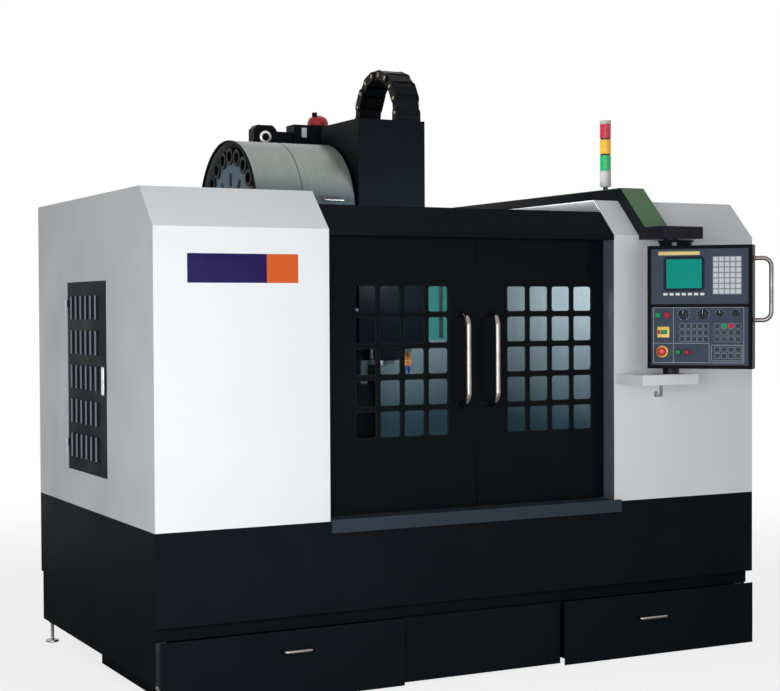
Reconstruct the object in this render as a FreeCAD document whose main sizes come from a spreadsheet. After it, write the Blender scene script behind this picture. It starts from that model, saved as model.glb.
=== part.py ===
import FreeCAD, Part
import math
import os
import Sketcher

# Vertical machining centre with a full enclosure, in millimetres.
# Every size below is written in the machine's own axes: x runs to the right from the
# enclosure's left side, y runs to the rear from its front panels, z is up from the floor.

SIZES = {
    # enclosure
    "shell_width": 2750,
    "shell_depth": 1545,
    "sheet": 3,
    "floor_gap": 100,
    "seam_height": 318,
    "skirt_top": 666,
    "fold_height": 1781,
    "roof_height": 1935,
    "fold_depth": 150,
    "left_width": 701,
    "right_start": 2016,
    "recess_depth": 40,
    "recess_bottom": 262,
    "side_inset": 8,
    # levelling feet: four under the enclosure's legs and six under the bed
    "foot_radius": 29,
    "foot_height": 12,
    "stem_radius": 8,
    "foot_inset": 36,
    "foot_front": 70,
    "foot_rear": 1505,
    "bed_foot_inset": 90,
    "bed_foot_front": 320,
    "bed_foot_middle": 1050,
    "bed_foot_rear": 1700,
    "leg_half": 20,
    # front opening, header and sill
    "header_bottom": 1760,
    "header_top": 1882,
    "header_depth": 99,
    "sill_bottom": 622,
    "sill_top": 673,
    "sill_proud": 15,
    "sill_end": 2042,
    "track_front": 112,
    "track_bottom": 1795,
    "track_top": 1815,
    # sliding doors
    "door_front": 82,
    "door_flange": 25,
    "door_bottom": 676,
    "door_top": 1790,
    "door_split": 1401,
    "left_door_start": 690,
    "right_door_end": 2030,
    "roller_radius": 20,
    # window grid
    "pane_width": 90,
    "pane_height": 105,
    "pane_pitch": 108,
    "row_pitch": 123.5,
    "pane_clip": 8.5,
    "left_window_start": 850,
    "right_window_start": 1541,
    "window_bottom": 969,
    "glass_thickness": 5,
    "glass_lap": 18,
    # bow handles on the doors
    "bow_radius": 12,
    "rosette_radius": 20,
    "rosette_height": 5,
    "bow_reach": 68,
    "bow_bend": 50,
    "bow_low": 1089,
    "bow_high": 1455,
    "left_bow": 1320,
    "right_bow": 1455,
    # bed, column and guideways
    "bed_start": 1000,
    "bed_end": 1750,
    "bed_front": 250,
    "bed_rear": 1800,
    "bed_floor": 545,
    "way_top": 560,
    "middle": 1375,
    "column_front": 1345,
    "column_depth": 430,
    "column_foot": 300,
    "foot_shoulder": 1250,
    "neck_shoulder": 1700,
    "rear_taper_start": 1300,
    "cell_pitch": 380,
    "trough_depth": 90,
    "trough_half": 110,
    "column_neck": 210,
    "column_top": 2200,
    "rail_width": 34,
    "rail_height": 32,
    "bed_rail_spread": 265,
    "column_rail_spread": 125,
    # chamber guards
    "guard_left": 612,
    "guard_right": 2138,
    "guard_front": 131,
    "guard_back": 1297,
    "guard_top": 1700,
    "guard_cut": 1640,
    "floor_rise": 75,
    # saddle and table
    "spindle_depth": 890,
    "saddle_half": 550,
    "saddle_waist": 335,
    "saddle_wing": 150,
    "carriage_half": 35,
    "carriage_length": 90,
    "rail_play": 0.3,
    "saddle_bottom": 600,
    "saddle_top": 700,
    "cross_rail_spread": 130,
    "table_half": 400,
    "table_reach": 200,
    "table_bottom": 750,
    "table_top": 850,
    "slot_pitch": 100,
    "slot_width": 16,
    "slot_depth": 22,
    "undercut_width": 28,
    "undercut_height": 12,
    # telescopic cover over the bed
    "cover_sheet": 2.5,
    "cover_half": 335,
    "cover_length": 270,
    "cover_top": 642.5,
    # head
    "hood_start": 1208,
    "hood_end": 1537,
    "hood_front": 770,
    "hood_rear": 1150,
    "hood_bottom": 1320,
    "hood_top": 2310,
    "slide_bottom": 1380,
    "slide_top": 2000,
    "snout_bottom": 1300,
    "snout_top": 1960,
    "cartridge_radius": 92,
    "nose_radius": 64,
    "nose_bottom": 1228,
    "slide_front": 1240,
    "slide_half": 165,
    "snout_front": 800,
    "snout_half": 135,
    "carriage_front": 1300,
    "taper_mouth": 22.4,
    "taper_end": 12.5,
    "taper_length": 68,
    "nozzle_across": 115,
    "nozzle_spread": 9.6,
    "manifold_height": 16,
    "hose_length": 66,
    "tip_length": 34,
    # cable chain
    "chain_start": 1399,
    "chain_width": 121,
    "chain_radius": 191,
    "chain_height": 42,
    "chain_depth": 988,
    "chain_rise": 2346,
    "chain_plate": 5,
    "chain_gap": 0.4,
    "chain_lid": 3,
    "pin_radius": 6,
    "pin_play": 0.3,
    # tool magazine
    "shroud_start": 725,
    "shroud_end": 1195,
    "shroud_radius": 333,
    "drum_depth": 1110,
    "drum_height": 1888,
    "disc_face": 745,
    "disc_thickness": 12,
    "disc_radius": 250,
    "hub_radius": 60,
    "hub_length": 26,
    "oval_width": 30,
    "oval_length": 62,
    "oval_start": 130,
    "oval_corner": 14,
    "socket_radius": 24,
    "socket_depth": 40,
    "pot_proud": 6,
    "drum_skirt": 60,
    "pot_circle": 265,
    "pot_radius": 38,
    "pot_length": 105,
    "axle_radius": 25,
    "arm_depth": 960,
    "arm_middle": 1110,
    "arm_reach": 290,
    "arm_height": 1440,
    "arm_thickness": 40,
    "fork_half": 16,
    "fork_mouth": 31,
    "fork_root": 10,
    # motors on the column's shelf
    "shelf_bottom": 2200,
    "shelf_thickness": 12,
    "motor_front": 1352,
    "servo_across": 1319,
    "servo_half": 62,
    "servo_height": 132,
    "servo_middle": 78,
    "terminal_start": 1160,
    "terminal_end": 1294,
    "terminal_depth": 90,
    "terminal_height": 128,
    "cap_radius": 50,
    "plug_offset": 25,
    "plug_radius": 12,
    "gear_start": 957,
    "gear_end": 1072,
    "gear_depth": 60,
    "gear_height": 118,
    "gear_clip": 20,
    "link_height": 92,
    "ring_across": 1013,
    "ring_radius": 28,
    "ring_proud": 8,
    # drawers under the front
    "tray_height": 262,
    "tray_depth": 880,
    "tray_proud": 22,
    "tray_inset": 70,
    "left_tray_end": 960,
    "right_tray_start": 1790,
    "face_bottom": 8,
    "face_top": 270,
    "left_face_start": 10,
    "left_face_end": 1007,
    "right_face_start": 1752,
    "right_face_inset": 16,
    "left_pull_start": 488,
    "left_pull_end": 601,
    "left_pull_height": 195,
    "right_pull_start": 2115,
    "right_pull_end": 2250,
    "right_pull_height": 172,
    "pull_reach": 33,
    "pull_bend": 14,
    "pull_radius": 6,
    "runner_gap": 9,
    "runner_play": 1.5,
    "runner_drop": 15,
    # louvred side door
    "vent_front": 563,
    "vent_rear": 1100,
    "vent_bottom": 816,
    "vent_top": 1590,
    "louvre_pitch": 67,
    "louvre_row_pitch": 142,
    "louvre_height": 96,
    "louvre_proud": 9,
    # electrical cabinet
    "cubicle_start": 1760,
    "cubicle_end": 2650,
    "cubicle_rear": 1900,
    "cubicle_bottom": 180,
    "doorway_edge": 25,
    "drive_width": 190,
    "drive_height": 360,
    "drive_depth": 105,
    "drive_pitch": 240,
    "drive_row_pitch": 480,
    "knuckle_radius": 6,
    # control arm, shelf and signal tower
    "boom_start": 2140,
    "boom_width": 119,
    "boom_height": 51,
    "boom_rear": 1800,
    "boom_slope_top": 128,
    "boom_nose": -47,
    "boom_nose_top": 1812,
    "boom_nose_bottom": 1762,
    "tower_across": 2200,
    "tower_depth": 325,
    "tower_radius": 25,
    # control unit: sizes in its own axes, from the swivel axis
    "pivot_across": 2195,
    "pivot_depth": -150,
    "unit_turn": -47,
    "unit_left": -84,
    "unit_right": 342,
    "unit_front": -76,
    "unit_rear": 34,
    "unit_bottom": 1226,
    "unit_top": 1730,
    "key_height": 2.5,
    "face_depth": 3,
    "unit_split": 244,
    "screen_left": -6,
    "screen_right": 138,
    "screen_bottom": 1555,
    "screen_top": 1674,
    "unit_bow_depth": -20,
    "unit_bow_low": 1424,
    "unit_bow_high": 1676,
    "unit_bow_bend": 34,
    "unit_bow_radius": 9,
    "stem_hole": 6.4,
    "shaft_hole": 4.4,
    "stop_hole": 8.4,
    "stop_radius": 18,
    "collar_radius": 24,
    # the middle of the footprint, set once everything has been built
    "centre_across": 0,
    "centre_depth": 0,
}

doc = FreeCAD.newDocument("machining_centre")
sheet = doc.addObject("Spreadsheet::Sheet", "dims")
for row, (alias, number) in enumerate(SIZES.items(), start=1):
    sheet.set(f"A{row}", alias)
    sheet.set(f"B{row}", str(number))
    sheet.setAlias(f"B{row}", alias)
doc.recompute()


class Size:
    """A length that carries its number and the sheet formula it came from."""

    def __init__(self, value, formula):
        self.value = value
        self.formula = formula

    def __add__(self, other):
        other = as_size(other)
        return Size(self.value + other.value, f"({self.formula} + {other.formula})")

    def __sub__(self, other):
        other = as_size(other)
        return Size(self.value - other.value, f"({self.formula} - {other.formula})")

    def __mul__(self, other):
        other = as_size(other)
        return Size(self.value * other.value, f"({self.formula} * {other.formula})")

    def __truediv__(self, other):
        other = as_size(other)
        return Size(self.value / other.value, f"({self.formula} / {other.formula})")

    def __rsub__(self, other):
        return as_size(other) - self

    def __neg__(self):
        return Size(-self.value, f"(-{self.formula})")

    __radd__ = __add__
    __rmul__ = __mul__


def as_size(number):
    """A plain number as a Size, so that both can stand in one formula."""
    return number if isinstance(number, Size) else Size(float(number), repr(float(number)))


class Dims:
    """The sheet's cells by name: dim.sheet is the Size of the cell called sheet."""

    def __getattr__(self, alias):
        return Size(float(SIZES[alias]), "dims." + alias)


dim = Dims()
sub_parts = []


def bind(thing, path, size):
    """Binds one property of an object to a formula on the sheet's cells."""
    thing.setExpression(path, as_size(size).formula)


def block(name, x, y, z):
    """A box between a low and a high limit on each axis."""
    box = doc.addObject("Part::Box", name)
    for letter, side, (low, high) in zip("xyz", ("Length", "Width", "Height"), (x, y, z)):
        bind(box, side, as_size(high) - low)
        bind(box, "Placement.Base." + letter, low)
    return box


TURNS = {
    "x": FreeCAD.Rotation(FreeCAD.Vector(0, 1, 0), 90),
    "y": FreeCAD.Rotation(FreeCAD.Vector(1, 0, 0), -90),
    "z": FreeCAD.Rotation(),
}


def rod(name, axis, start, radius, length):
    """A cylinder from the middle of its first end along one axis."""
    cylinder = doc.addObject("Part::Cylinder", name)
    cylinder.Placement = FreeCAD.Placement(FreeCAD.Vector(), TURNS[axis])
    bind(cylinder, "Radius", radius)
    bind(cylinder, "Height", length)
    for letter, place in zip("xyz", start):
        bind(cylinder, "Placement.Base." + letter, place)
    return cylinder


def cone(name, start, low_radius, high_radius, length):
    """An upright cone or taper from the middle of its lower end."""
    taper = doc.addObject("Part::Cone", name)
    bind(taper, "Radius1", low_radius)
    bind(taper, "Radius2", high_radius)
    bind(taper, "Height", length)
    for letter, place in zip("xyz", start):
        bind(taper, "Placement.Base." + letter, place)
    return taper


def fuse(name, shapes):
    """One object from several: pieces that touch become one solid, others stay apart."""
    whole = doc.addObject("Part::MultiFuse", name)
    whole.Shapes = shapes
    whole.Refine = True
    return whole


def carve(name, base, tools):
    """The base with the tools' volume taken away."""
    tool = tools[0]
    if len(tools) > 1:
        tool = doc.addObject("Part::MultiFuse", name + "_tools")
        tool.Shapes = tools
    cut = doc.addObject("Part::Cut", name)
    cut.Base = base
    cut.Tool = tool
    cut.Refine = True
    return cut


def group(name, shapes):
    """One object from several solids that stay apart or only touch."""
    together = doc.addObject("Part::Compound", name)
    together.Links = shapes
    return together


def finish(thing, label, unit=False):
    """Names a finished sub-part and places it: in the machine's axes or the control unit's."""
    thing.Label = label
    if unit:
        thing.Placement = FreeCAD.Placement(
            FreeCAD.Vector(), FreeCAD.Rotation(FreeCAD.Vector(0, 0, 1), dim.unit_turn.value))
        bind(thing, "Placement.Rotation.Angle", dim.unit_turn)
        bind(thing, "Placement.Base.x", dim.pivot_across - dim.centre_across)
        bind(thing, "Placement.Base.y", dim.pivot_depth - dim.centre_depth)
    else:
        bind(thing, "Placement.Base.x", -dim.centre_across)
        bind(thing, "Placement.Base.y", -dim.centre_depth)
    sub_parts.append(thing)
    return thing


def new_body(name):
    """An empty body that sketched features build up."""
    return doc.addObject("PartDesign::Body", name)


def origin_feature(body, role):
    """One of the body's own origin planes or axes."""
    return next(item for item in body.Origin.OriginFeatures if item.Role == role)


# Which way a sketch's normal points on each origin plane.
NORMALS = {"XY_Plane": 1, "XZ_Plane": -1, "YZ_Plane": 1}


def new_sketch(body, plane, place):
    """A sketch on an origin plane, moved to a place along that plane's positive axis."""
    sketch = body.newObject("Sketcher::SketchObject", body.Name + "_sketch")
    sketch.AttachmentSupport = [(origin_feature(body, plane), "")]
    sketch.MapMode = "FlatFace"
    bind(sketch, "AttachmentOffset.Base.z", as_size(place) * NORMALS[plane])
    return sketch


def hold(sketch, kind, *rest):
    """A constraint whose last value is a Size, bound to the sheet."""
    *where, size = rest
    size = as_size(size)
    if kind in ("DistanceX", "DistanceY") and size.formula == "0.0":
        axis = -2 if kind == "DistanceX" else -1
        sketch.addConstraint(Sketcher.Constraint("PointOnObject", where[-2], where[-1], axis))
        return
    index = sketch.addConstraint(Sketcher.Constraint(kind, *where, size.value))
    sketch.setExpression(f"Constraints[{index}]", size.formula)


def draw_outline(sketch, corners):
    """A closed outline of straight edges, each corner dimensioned from the origin."""
    corners = [(as_size(across), as_size(up)) for across, up in corners]
    first = sketch.GeometryCount
    count = len(corners)
    places = [FreeCAD.Vector(across.value, up.value, 0) for across, up in corners]
    for index in range(count):
        sketch.addGeometry(Part.LineSegment(places[index], places[(index + 1) % count]))
    for index in range(count):
        following = first + (index + 1) % count
        sketch.addConstraint(Sketcher.Constraint("Coincident", first + index, 2, following, 1))
    for index, (across, up) in enumerate(corners):
        hold(sketch, "DistanceX", -1, 1, first + index, 1, across)
        hold(sketch, "DistanceY", -1, 1, first + index, 1, up)


def draw_circle(sketch, across, up, radius):
    """A circle dimensioned from the sketch's origin."""
    across, up, radius = as_size(across), as_size(up), as_size(radius)
    centre = FreeCAD.Vector(across.value, up.value, 0)
    index = sketch.addGeometry(Part.Circle(centre, FreeCAD.Vector(0, 0, 1), radius.value))
    hold(sketch, "Radius", index, radius)
    hold(sketch, "DistanceX", -1, 1, index, 3, across)
    hold(sketch, "DistanceY", -1, 1, index, 3, up)


def join_ends(sketch, first, second):
    """Makes two edges run into each other smoothly where their ends meet."""
    for end in (1, 2):
        for other in (1, 2):
            gap = sketch.getPoint(first, end).distanceToPoint(sketch.getPoint(second, other))
            if gap < 1e-6:
                sketch.addConstraint(Sketcher.Constraint("Tangent", first, end, second, other))
                return


def draw_window(sketch, across, up, width, height, corner):
    """A rounded rectangle: four straight sides joined by four equal arcs."""
    left, low = as_size(across), as_size(up)
    right, high = left + width, low + height
    x0, x1, y0, y1 = left.value, right.value, low.value, high.value
    radius = corner.value
    first = sketch.GeometryCount
    sides = [((x0 + radius, y0), (x1 - radius, y0)), ((x1, y0 + radius), (x1, y1 - radius)),
             ((x1 - radius, y1), (x0 + radius, y1)), ((x0, y1 - radius), (x0, y0 + radius))]
    middles = [(x1 - radius, y0 + radius), (x1 - radius, y1 - radius),
               (x0 + radius, y1 - radius), (x0 + radius, y0 + radius)]
    for side, ((start, end), middle) in enumerate(zip(sides, middles)):
        sketch.addGeometry(Part.LineSegment(FreeCAD.Vector(*start, 0), FreeCAD.Vector(*end, 0)))
        circle = Part.Circle(FreeCAD.Vector(*middle, 0), FreeCAD.Vector(0, 0, 1), radius)
        turn = math.pi / 2 * (side - 1)
        sketch.addGeometry(Part.ArcOfCircle(circle, turn, turn + math.pi / 2))
    for index in range(8):
        join_ends(sketch, first + index, first + (index + 1) % 8)
    for index, kind in ((0, "Horizontal"), (2, "Vertical"), (4, "Horizontal"), (6, "Vertical")):
        sketch.addConstraint(Sketcher.Constraint(kind, first + index))
    for index in (3, 5, 7):
        sketch.addConstraint(Sketcher.Constraint("Equal", first + 1, first + index))
    hold(sketch, "Radius", first + 1, corner)
    hold(sketch, "DistanceX", -1, 1, first + 6, 1, left)
    hold(sketch, "DistanceX", -1, 1, first + 2, 1, right)
    hold(sketch, "DistanceY", -1, 1, first, 1, low)
    hold(sketch, "DistanceY", -1, 1, first + 4, 1, high)


def grow(body, plane, place, length, outlines=(), circles=()):
    """Adds a prism that starts at a place on the plane's axis and runs in its plus direction."""
    sketch = new_sketch(body, plane, place)
    for corners in outlines:
        draw_outline(sketch, corners)
    for across, up, radius in circles:
        draw_circle(sketch, across, up, radius)
    pad = body.newObject("PartDesign::Pad", body.Name + "_pad")
    pad.Profile = sketch
    pad.Reversed = NORMALS[plane] < 0
    bind(pad, "Length", length)
    return pad


def sink(body, plane, place, length, outlines=(), circles=(), windows=()):
    """Cuts a prism that starts at a place on the plane's axis and runs in its plus direction."""
    sketch = new_sketch(body, plane, place)
    for corners in outlines:
        draw_outline(sketch, corners)
    for across, up, radius in circles:
        draw_circle(sketch, across, up, radius)
    for window in windows:
        draw_window(sketch, *window)
    pocket = body.newObject("PartDesign::Pocket", body.Name + "_pocket")
    pocket.Profile = sketch
    pocket.Reversed = NORMALS[plane] > 0
    bind(pocket, "Length", length)
    return pocket


def turn(body, plane, corners, axis):
    """Adds a turned form: an outline swung round one of the sketch's own axes."""
    sketch = new_sketch(body, plane, 0)
    draw_outline(sketch, corners)
    form = body.newObject("PartDesign::Revolution", body.Name + "_turned")
    form.Profile = sketch
    form.ReferenceAxis = (sketch, [axis])
    form.Angle = 360
    return form


def line_up(body, feature, direction, pitch, count):
    """One step of a pattern: copies of a feature at an even pitch along an axis."""
    pattern = body.newObject("PartDesign::LinearPattern", body.Name + "_row")
    pattern.Direction = (origin_feature(body, direction), [""])
    bind(pattern, "Length", as_size(pitch) * (count - 1))
    pattern.Occurrences = count
    if feature:
        pattern.Originals = feature
        body.Tip = pattern
    return pattern


def grid(body, features, across, up):
    """Copies features in rows and columns; across and up are (axis, pitch, count)."""
    pattern = body.newObject("PartDesign::MultiTransform", body.Name + "_grid")
    pattern.Originals = features
    pattern.Transformations = [line_up(body, None, *across), line_up(body, None, *up)]
    body.Tip = pattern
    return pattern


def ring(body, features, axis, count):
    """Copies features evenly round one of the body's axes."""
    pattern = body.newObject("PartDesign::PolarPattern", body.Name + "_ring")
    pattern.Originals = features
    pattern.Axis = (origin_feature(body, axis), [""])
    pattern.Angle = 360
    pattern.Occurrences = count
    body.Tip = pattern
    return pattern


def bow(name, plane, place, foot, reach, low, high, bend, radius):
    """A bent round bar: out from a foot, along at its reach, and back to a second foot.

    The path lies in the plane at the given place. On YZ_Plane and XZ_Plane the bar runs
    upright, and on XY_Plane it runs along x; low and high are the ends of its run.
    """
    body = new_body(name)
    foot, reach, low, high = as_size(foot), as_size(reach), as_size(low), as_size(high)
    bend, radius = as_size(bend), as_size(radius)
    path = new_sketch(body, plane, place)
    lying = plane == "XY_Plane"
    out_axis, run_axis = ("DistanceY", "DistanceX") if lying else ("DistanceX", "DistanceY")
    out_line, run_line = ("Vertical", "Horizontal") if lying else ("Horizontal", "Vertical")
    way = 1 if reach.value > foot.value else -1
    inner = reach.value - way * bend.value
    short = bend.value * (1 - math.sqrt(0.5))

    def point(out, run):
        return FreeCAD.Vector(run, out, 0) if lying else FreeCAD.Vector(out, run, 0)

    def knee(level, side):
        """The quarter arc where a leg turns into the run, at its low or high end."""
        return Part.Arc(point(inner, level),
                        point(reach.value - way * short, level - side * short),
                        point(reach.value, level - side * bend.value))

    for edge in (Part.LineSegment(point(foot.value, low.value), point(inner, low.value)),
                 knee(low.value, -1),
                 Part.LineSegment(point(reach.value, low.value + bend.value),
                                  point(reach.value, high.value - bend.value)),
                 knee(high.value, 1),
                 Part.LineSegment(point(inner, high.value), point(foot.value, high.value))):
        path.addGeometry(edge)
    for index in range(4):
        join_ends(path, index, index + 1)
    for index, kind in ((0, out_line), (2, run_line), (4, out_line)):
        path.addConstraint(Sketcher.Constraint(kind, index))
    path.addConstraint(Sketcher.Constraint("Equal", 1, 3))
    hold(path, "Radius", 1, bend)
    hold(path, out_axis, -1, 1, 0, 1, foot)
    hold(path, run_axis, -1, 1, 0, 1, low)
    hold(path, out_axis, -1, 1, 2, 1, reach)
    hold(path, out_axis, -1, 1, 4, 2, foot)
    hold(path, run_axis, -1, 1, 4, 2, high)
    section = new_sketch(body, "YZ_Plane" if plane == "XZ_Plane" else "XZ_Plane", foot)
    across, up = (low, place) if lying else (place, low)
    draw_circle(section, across, up, radius)
    pipe = body.newObject("PartDesign::AdditivePipe", body.Name + "_pipe")
    pipe.Profile = section
    pipe.Spine = path
    return body


def span(start, end, height_start, height_end):
    """The corners of an upright rectangle."""
    return [(start, height_start), (end, height_start), (end, height_end), (start, height_end)]


def clipped(across, up, width, height, clip):
    """The outline of a rectangle whose four corners are clipped at 45 degrees."""
    left, low = as_size(across), as_size(up)
    right, high = left + width, low + height
    return [(left + clip, low), (right - clip, low), (right, low + clip), (right, high - clip),
            (right - clip, high), (left + clip, high), (left, high - clip), (left, low + clip)]


# ---------------------------------------------------------------- feet and base pan

foot_places = [(x, y) for y in (dim.foot_front, dim.foot_rear)
               for x in (dim.foot_inset, dim.shell_width - dim.foot_inset)]
bed_feet = [(x, y) for y in (dim.bed_foot_front, dim.bed_foot_middle, dim.bed_foot_rear)
            for x in (dim.bed_start + dim.bed_foot_inset, dim.bed_end - dim.bed_foot_inset)]


def levelling_feet():
    """Levelling feet: a round pad under a stem, at the enclosure's legs and under the bed."""
    parts = []
    for index, (x, y) in enumerate(foot_places + bed_feet):
        parts.append(rod(f"foot_pad_{index}", "z", (x, y, 0), dim.foot_radius, dim.foot_height))
        parts.append(rod(f"foot_stem_{index}", "z", (x, y, dim.foot_height), dim.stem_radius,
                         dim.floor_gap - dim.foot_height))
    finish(fuse("feet", parts), "levelling_feet")


levelling_feet()

pan_top = dim.seam_height + dim.sheet
TRAYS = {"left": (dim.tray_inset, dim.left_tray_end),
         "right": (dim.right_tray_start, dim.shell_width - dim.tray_inset)}


def base_pan():
    """Sheet pan that ties the enclosure to the bed, with corner legs and drawer runners."""
    inside = (dim.sheet, dim.shell_width - dim.sheet)
    whole = block("pan_sheet", inside,
                  (dim.recess_depth + dim.sheet, dim.shell_depth - dim.sheet),
                  (dim.seam_height, pan_top))
    legs = [block(f"pan_leg_{index}", (x - dim.leg_half, x + dim.leg_half),
                  (y - dim.leg_half, y + dim.leg_half), (dim.floor_gap, dim.seam_height))
            for index, (x, y) in enumerate(foot_places)]
    runners = []
    for side, (low, high) in TRAYS.items():
        outer_low = low - dim.runner_gap - dim.sheet
        outer_high = high + dim.runner_gap + dim.sheet
        deep = (60, dim.tray_depth + 40)
        lip_bottom = dim.tray_height - dim.runner_drop
        for end, (web, lip) in enumerate((
                ((outer_low, low - dim.runner_gap), (outer_low, low - dim.runner_play)),
                ((high + dim.runner_gap, outer_high), (high + dim.runner_play, outer_high)))):
            runners.append(block(f"{side}_runner_web_{end}", web, deep,
                                 (lip_bottom, dim.seam_height)))
            runners.append(block(f"{side}_runner_lip_{end}", lip, deep,
                                 (lip_bottom, lip_bottom + dim.sheet)))
    bed_hole = block("pan_bed_hole", (dim.bed_start, dim.bed_end), (dim.bed_front, dim.bed_rear),
                     (dim.seam_height - 1, pan_top + 1))
    sheet_part = carve("pan_around_bed", whole, [bed_hole])
    finish(fuse("pan", [sheet_part] + legs + runners), "base_pan")


base_pan()

# ---------------------------------------------------------------- black lower skirts


def front_skirt():
    """Front lower panel, folded back under its edge to a recess strip and a middle apron."""
    body = new_body("skirt_front")
    t = dim.sheet
    back = dim.recess_depth
    fold = dim.seam_height
    grow(body, "YZ_Plane", 0, dim.shell_width, outlines=[span(0, t, fold, dim.skirt_top)])
    grow(body, "YZ_Plane", t, dim.shell_width - t * 2, outlines=[[
        (t, fold), (back, fold), (back, dim.recess_bottom), (back + t, dim.recess_bottom),
        (back + t, fold + t), (t, fold + t)]])
    grow(body, "YZ_Plane", 1010, 740, outlines=[[
        (10, 11), (10, dim.recess_bottom + 3), (back, dim.recess_bottom + 3),
        (back, dim.recess_bottom), (10 + t, dim.recess_bottom), (10 + t, 11)]])
    finish(body, "front_skirt")


def base_skirts():
    """Side and rear skirts: an upper panel, a step at the seam and a lower inset panel."""
    t = dim.sheet
    inset = dim.side_inset
    wide, deep = dim.shell_width, dim.shell_depth
    parts = []
    for side, outer, inner, lower_outer, lower_inner in (
            ("left", 0, t, inset, inset + t),
            ("right", wide, wide - t, wide - inset, wide - inset - t)):
        def edges(first, second, flip=(side == "right")):
            return (second, first) if flip else (first, second)
        parts.append(block(side + "_upper", edges(outer, inner), (t, deep),
                           (dim.seam_height, dim.skirt_top)))
        parts.append(block(side + "_step", edges(outer, lower_inner), (dim.recess_depth + t, deep),
                           (dim.seam_height - t, dim.seam_height)))
        parts.append(block(side + "_lower", edges(lower_outer, lower_inner),
                           (dim.recess_depth + t, deep), (dim.floor_gap, dim.seam_height - t)))
        start, end = (inner, dim.bed_start) if side == "left" else (dim.bed_end, inner)
        parts.append(block(side + "_rear", (start, end), (deep - t, deep),
                           (pan_top, dim.skirt_top)))
        low_start, low_end = ((lower_inner, dim.bed_start) if side == "left"
                              else (dim.bed_end, lower_inner))
        parts.append(block(side + "_rear_lower", (low_start, low_end), (deep - t, deep),
                           (dim.floor_gap, dim.seam_height)))
    finish(fuse("skirts", parts), "base_skirts")


front_skirt()
base_skirts()

# ---------------------------------------------------------------- drawers under the front


def drawer(side):
    """Pull-out tray: front panel, open box on side flanges, and a bent wire pull."""
    low, high = TRAYS[side]
    if side == "left":
        face = (dim.left_face_start, dim.left_face_end)
        start, end, level = dim.left_pull_start, dim.left_pull_end, dim.left_pull_height
    else:
        face = (dim.right_face_start, dim.shell_width - dim.right_face_inset)
        start, end, level = dim.right_pull_start, dim.right_pull_end, dim.right_pull_height
    sheet_thick = dim.sheet
    back = sheet_thick - dim.tray_proud
    front = block(side + "_face", face, (-dim.tray_proud, back), (dim.face_bottom, dim.face_top))
    box = block(side + "_box", (low, high), (back, dim.tray_depth), (20, dim.tray_height - 8))
    hollow = block(side + "_hollow", (low + sheet_thick, high - sheet_thick),
                   (back + sheet_thick, dim.tray_depth - sheet_thick),
                   (sheet_thick + 20, dim.tray_height))
    shell = carve(side + "_shell", box, [hollow])
    flanges = [block(f"{side}_flange_{index}", edge, (65, dim.tray_depth),
                     (dim.tray_height - 11.5, dim.tray_height - 8))
               for index, edge in enumerate(((low - 7, low + sheet_thick),
                                             (high - sheet_thick, high + 7)))]
    pull = bow(side + "_pull", "XY_Plane", level, -dim.tray_proud,
               -dim.tray_proud - dim.pull_reach, start, end, dim.pull_bend, dim.pull_radius)
    finish(fuse(side + "_drawer", [front, shell, pull] + flanges), side + "_tray")


drawer("left")
drawer("right")

# ---------------------------------------------------------------- white cabinets


def cabinet(side):
    """White sheet cabinet with a sloped fold at the top of its front, open towards the doors."""
    body = new_body(side + "_shell_cabinet")
    t = dim.sheet
    start, width = (0, dim.left_width) if side == "left" else (
        dim.right_start, dim.shell_width - dim.right_start)
    grow(body, "YZ_Plane", start, width, outlines=[[
        (0, dim.skirt_top), (0, dim.fold_height), (dim.fold_depth, dim.roof_height),
        (dim.shell_depth, dim.roof_height), (dim.shell_depth, dim.skirt_top)]])
    inner_start = t if side == "left" else dim.right_start - 1
    sink(body, "YZ_Plane", inner_start, width - t + 1, outlines=[[
        (t, dim.skirt_top - 1), (t, dim.fold_height - t * 0.42),
        (dim.fold_depth + t * 0.42, dim.roof_height - t),
        (dim.shell_depth - t, dim.roof_height - t),
        (dim.shell_depth - t, dim.skirt_top - 1)]])
    if side == "left":
        sink(body, "YZ_Plane", -1, t + 2, outlines=[span(
            dim.vent_front - 3, dim.vent_rear + 3, dim.vent_bottom - 3, dim.vent_top + 3)])
        hinge_leaves(body, 0, (hinge_depth + 0.3, hinge_depth + 26))
    finish(body, side + "_cabinet")


hinge_depth = dim.vent_rear + 1.5
KNUCKLE = 30


def hinge_leaves(body, above, edges):
    """Two hinge leaves on the outside of the side panel, each with its rolled knuckle."""
    for level in (dim.vent_bottom + 64, dim.vent_top - 130):
        low = level + above + 0.2
        grow(body, "XY_Plane", low, KNUCKLE - 0.4, outlines=[span(-3, 0, *edges)])
        grow(body, "XY_Plane", low, KNUCKLE - 0.4, circles=[(-6, hinge_depth, 5)])


cabinet("left")
cabinet("right")

# ---------------------------------------------------------------- louvred side door


def side_door():
    """Louvred door: a grid of pressed louvres, a flush paddle lock and two hinge knuckles."""
    body = new_body("vent_door")
    t = dim.sheet
    proud = dim.louvre_proud
    grow(body, "YZ_Plane", 0, t, outlines=[span(
        dim.vent_front, dim.vent_rear, dim.vent_bottom, dim.vent_top)])
    grow(body, "YZ_Plane", -6, 6, outlines=[span(571, 607, 1139, 1255)])
    hinge_leaves(body, KNUCKLE, (hinge_depth - 26, hinge_depth - 0.3))
    first = dim.vent_front + 102
    base = dim.vent_bottom + 55
    hood = grow(body, "XY_Plane", base, dim.louvre_height,
                outlines=[[(0, first), (-proud, first + 22), (-proud, first + 25),
                           (0, first + 25)]])
    mouth = sink(body, "XY_Plane", base + 4, dim.louvre_height - 8,
                 outlines=[[(t + 1, first + 8), (1.5 - proud, first + 23),
                            (1.5 - proud, first + 26), (t + 1, first + 26)]])
    grid(body, [hood, mouth], ("Y_Axis", dim.louvre_pitch, 6), ("Z_Axis", dim.louvre_row_pitch, 5))
    finish(body, "side_door")


side_door()

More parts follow.
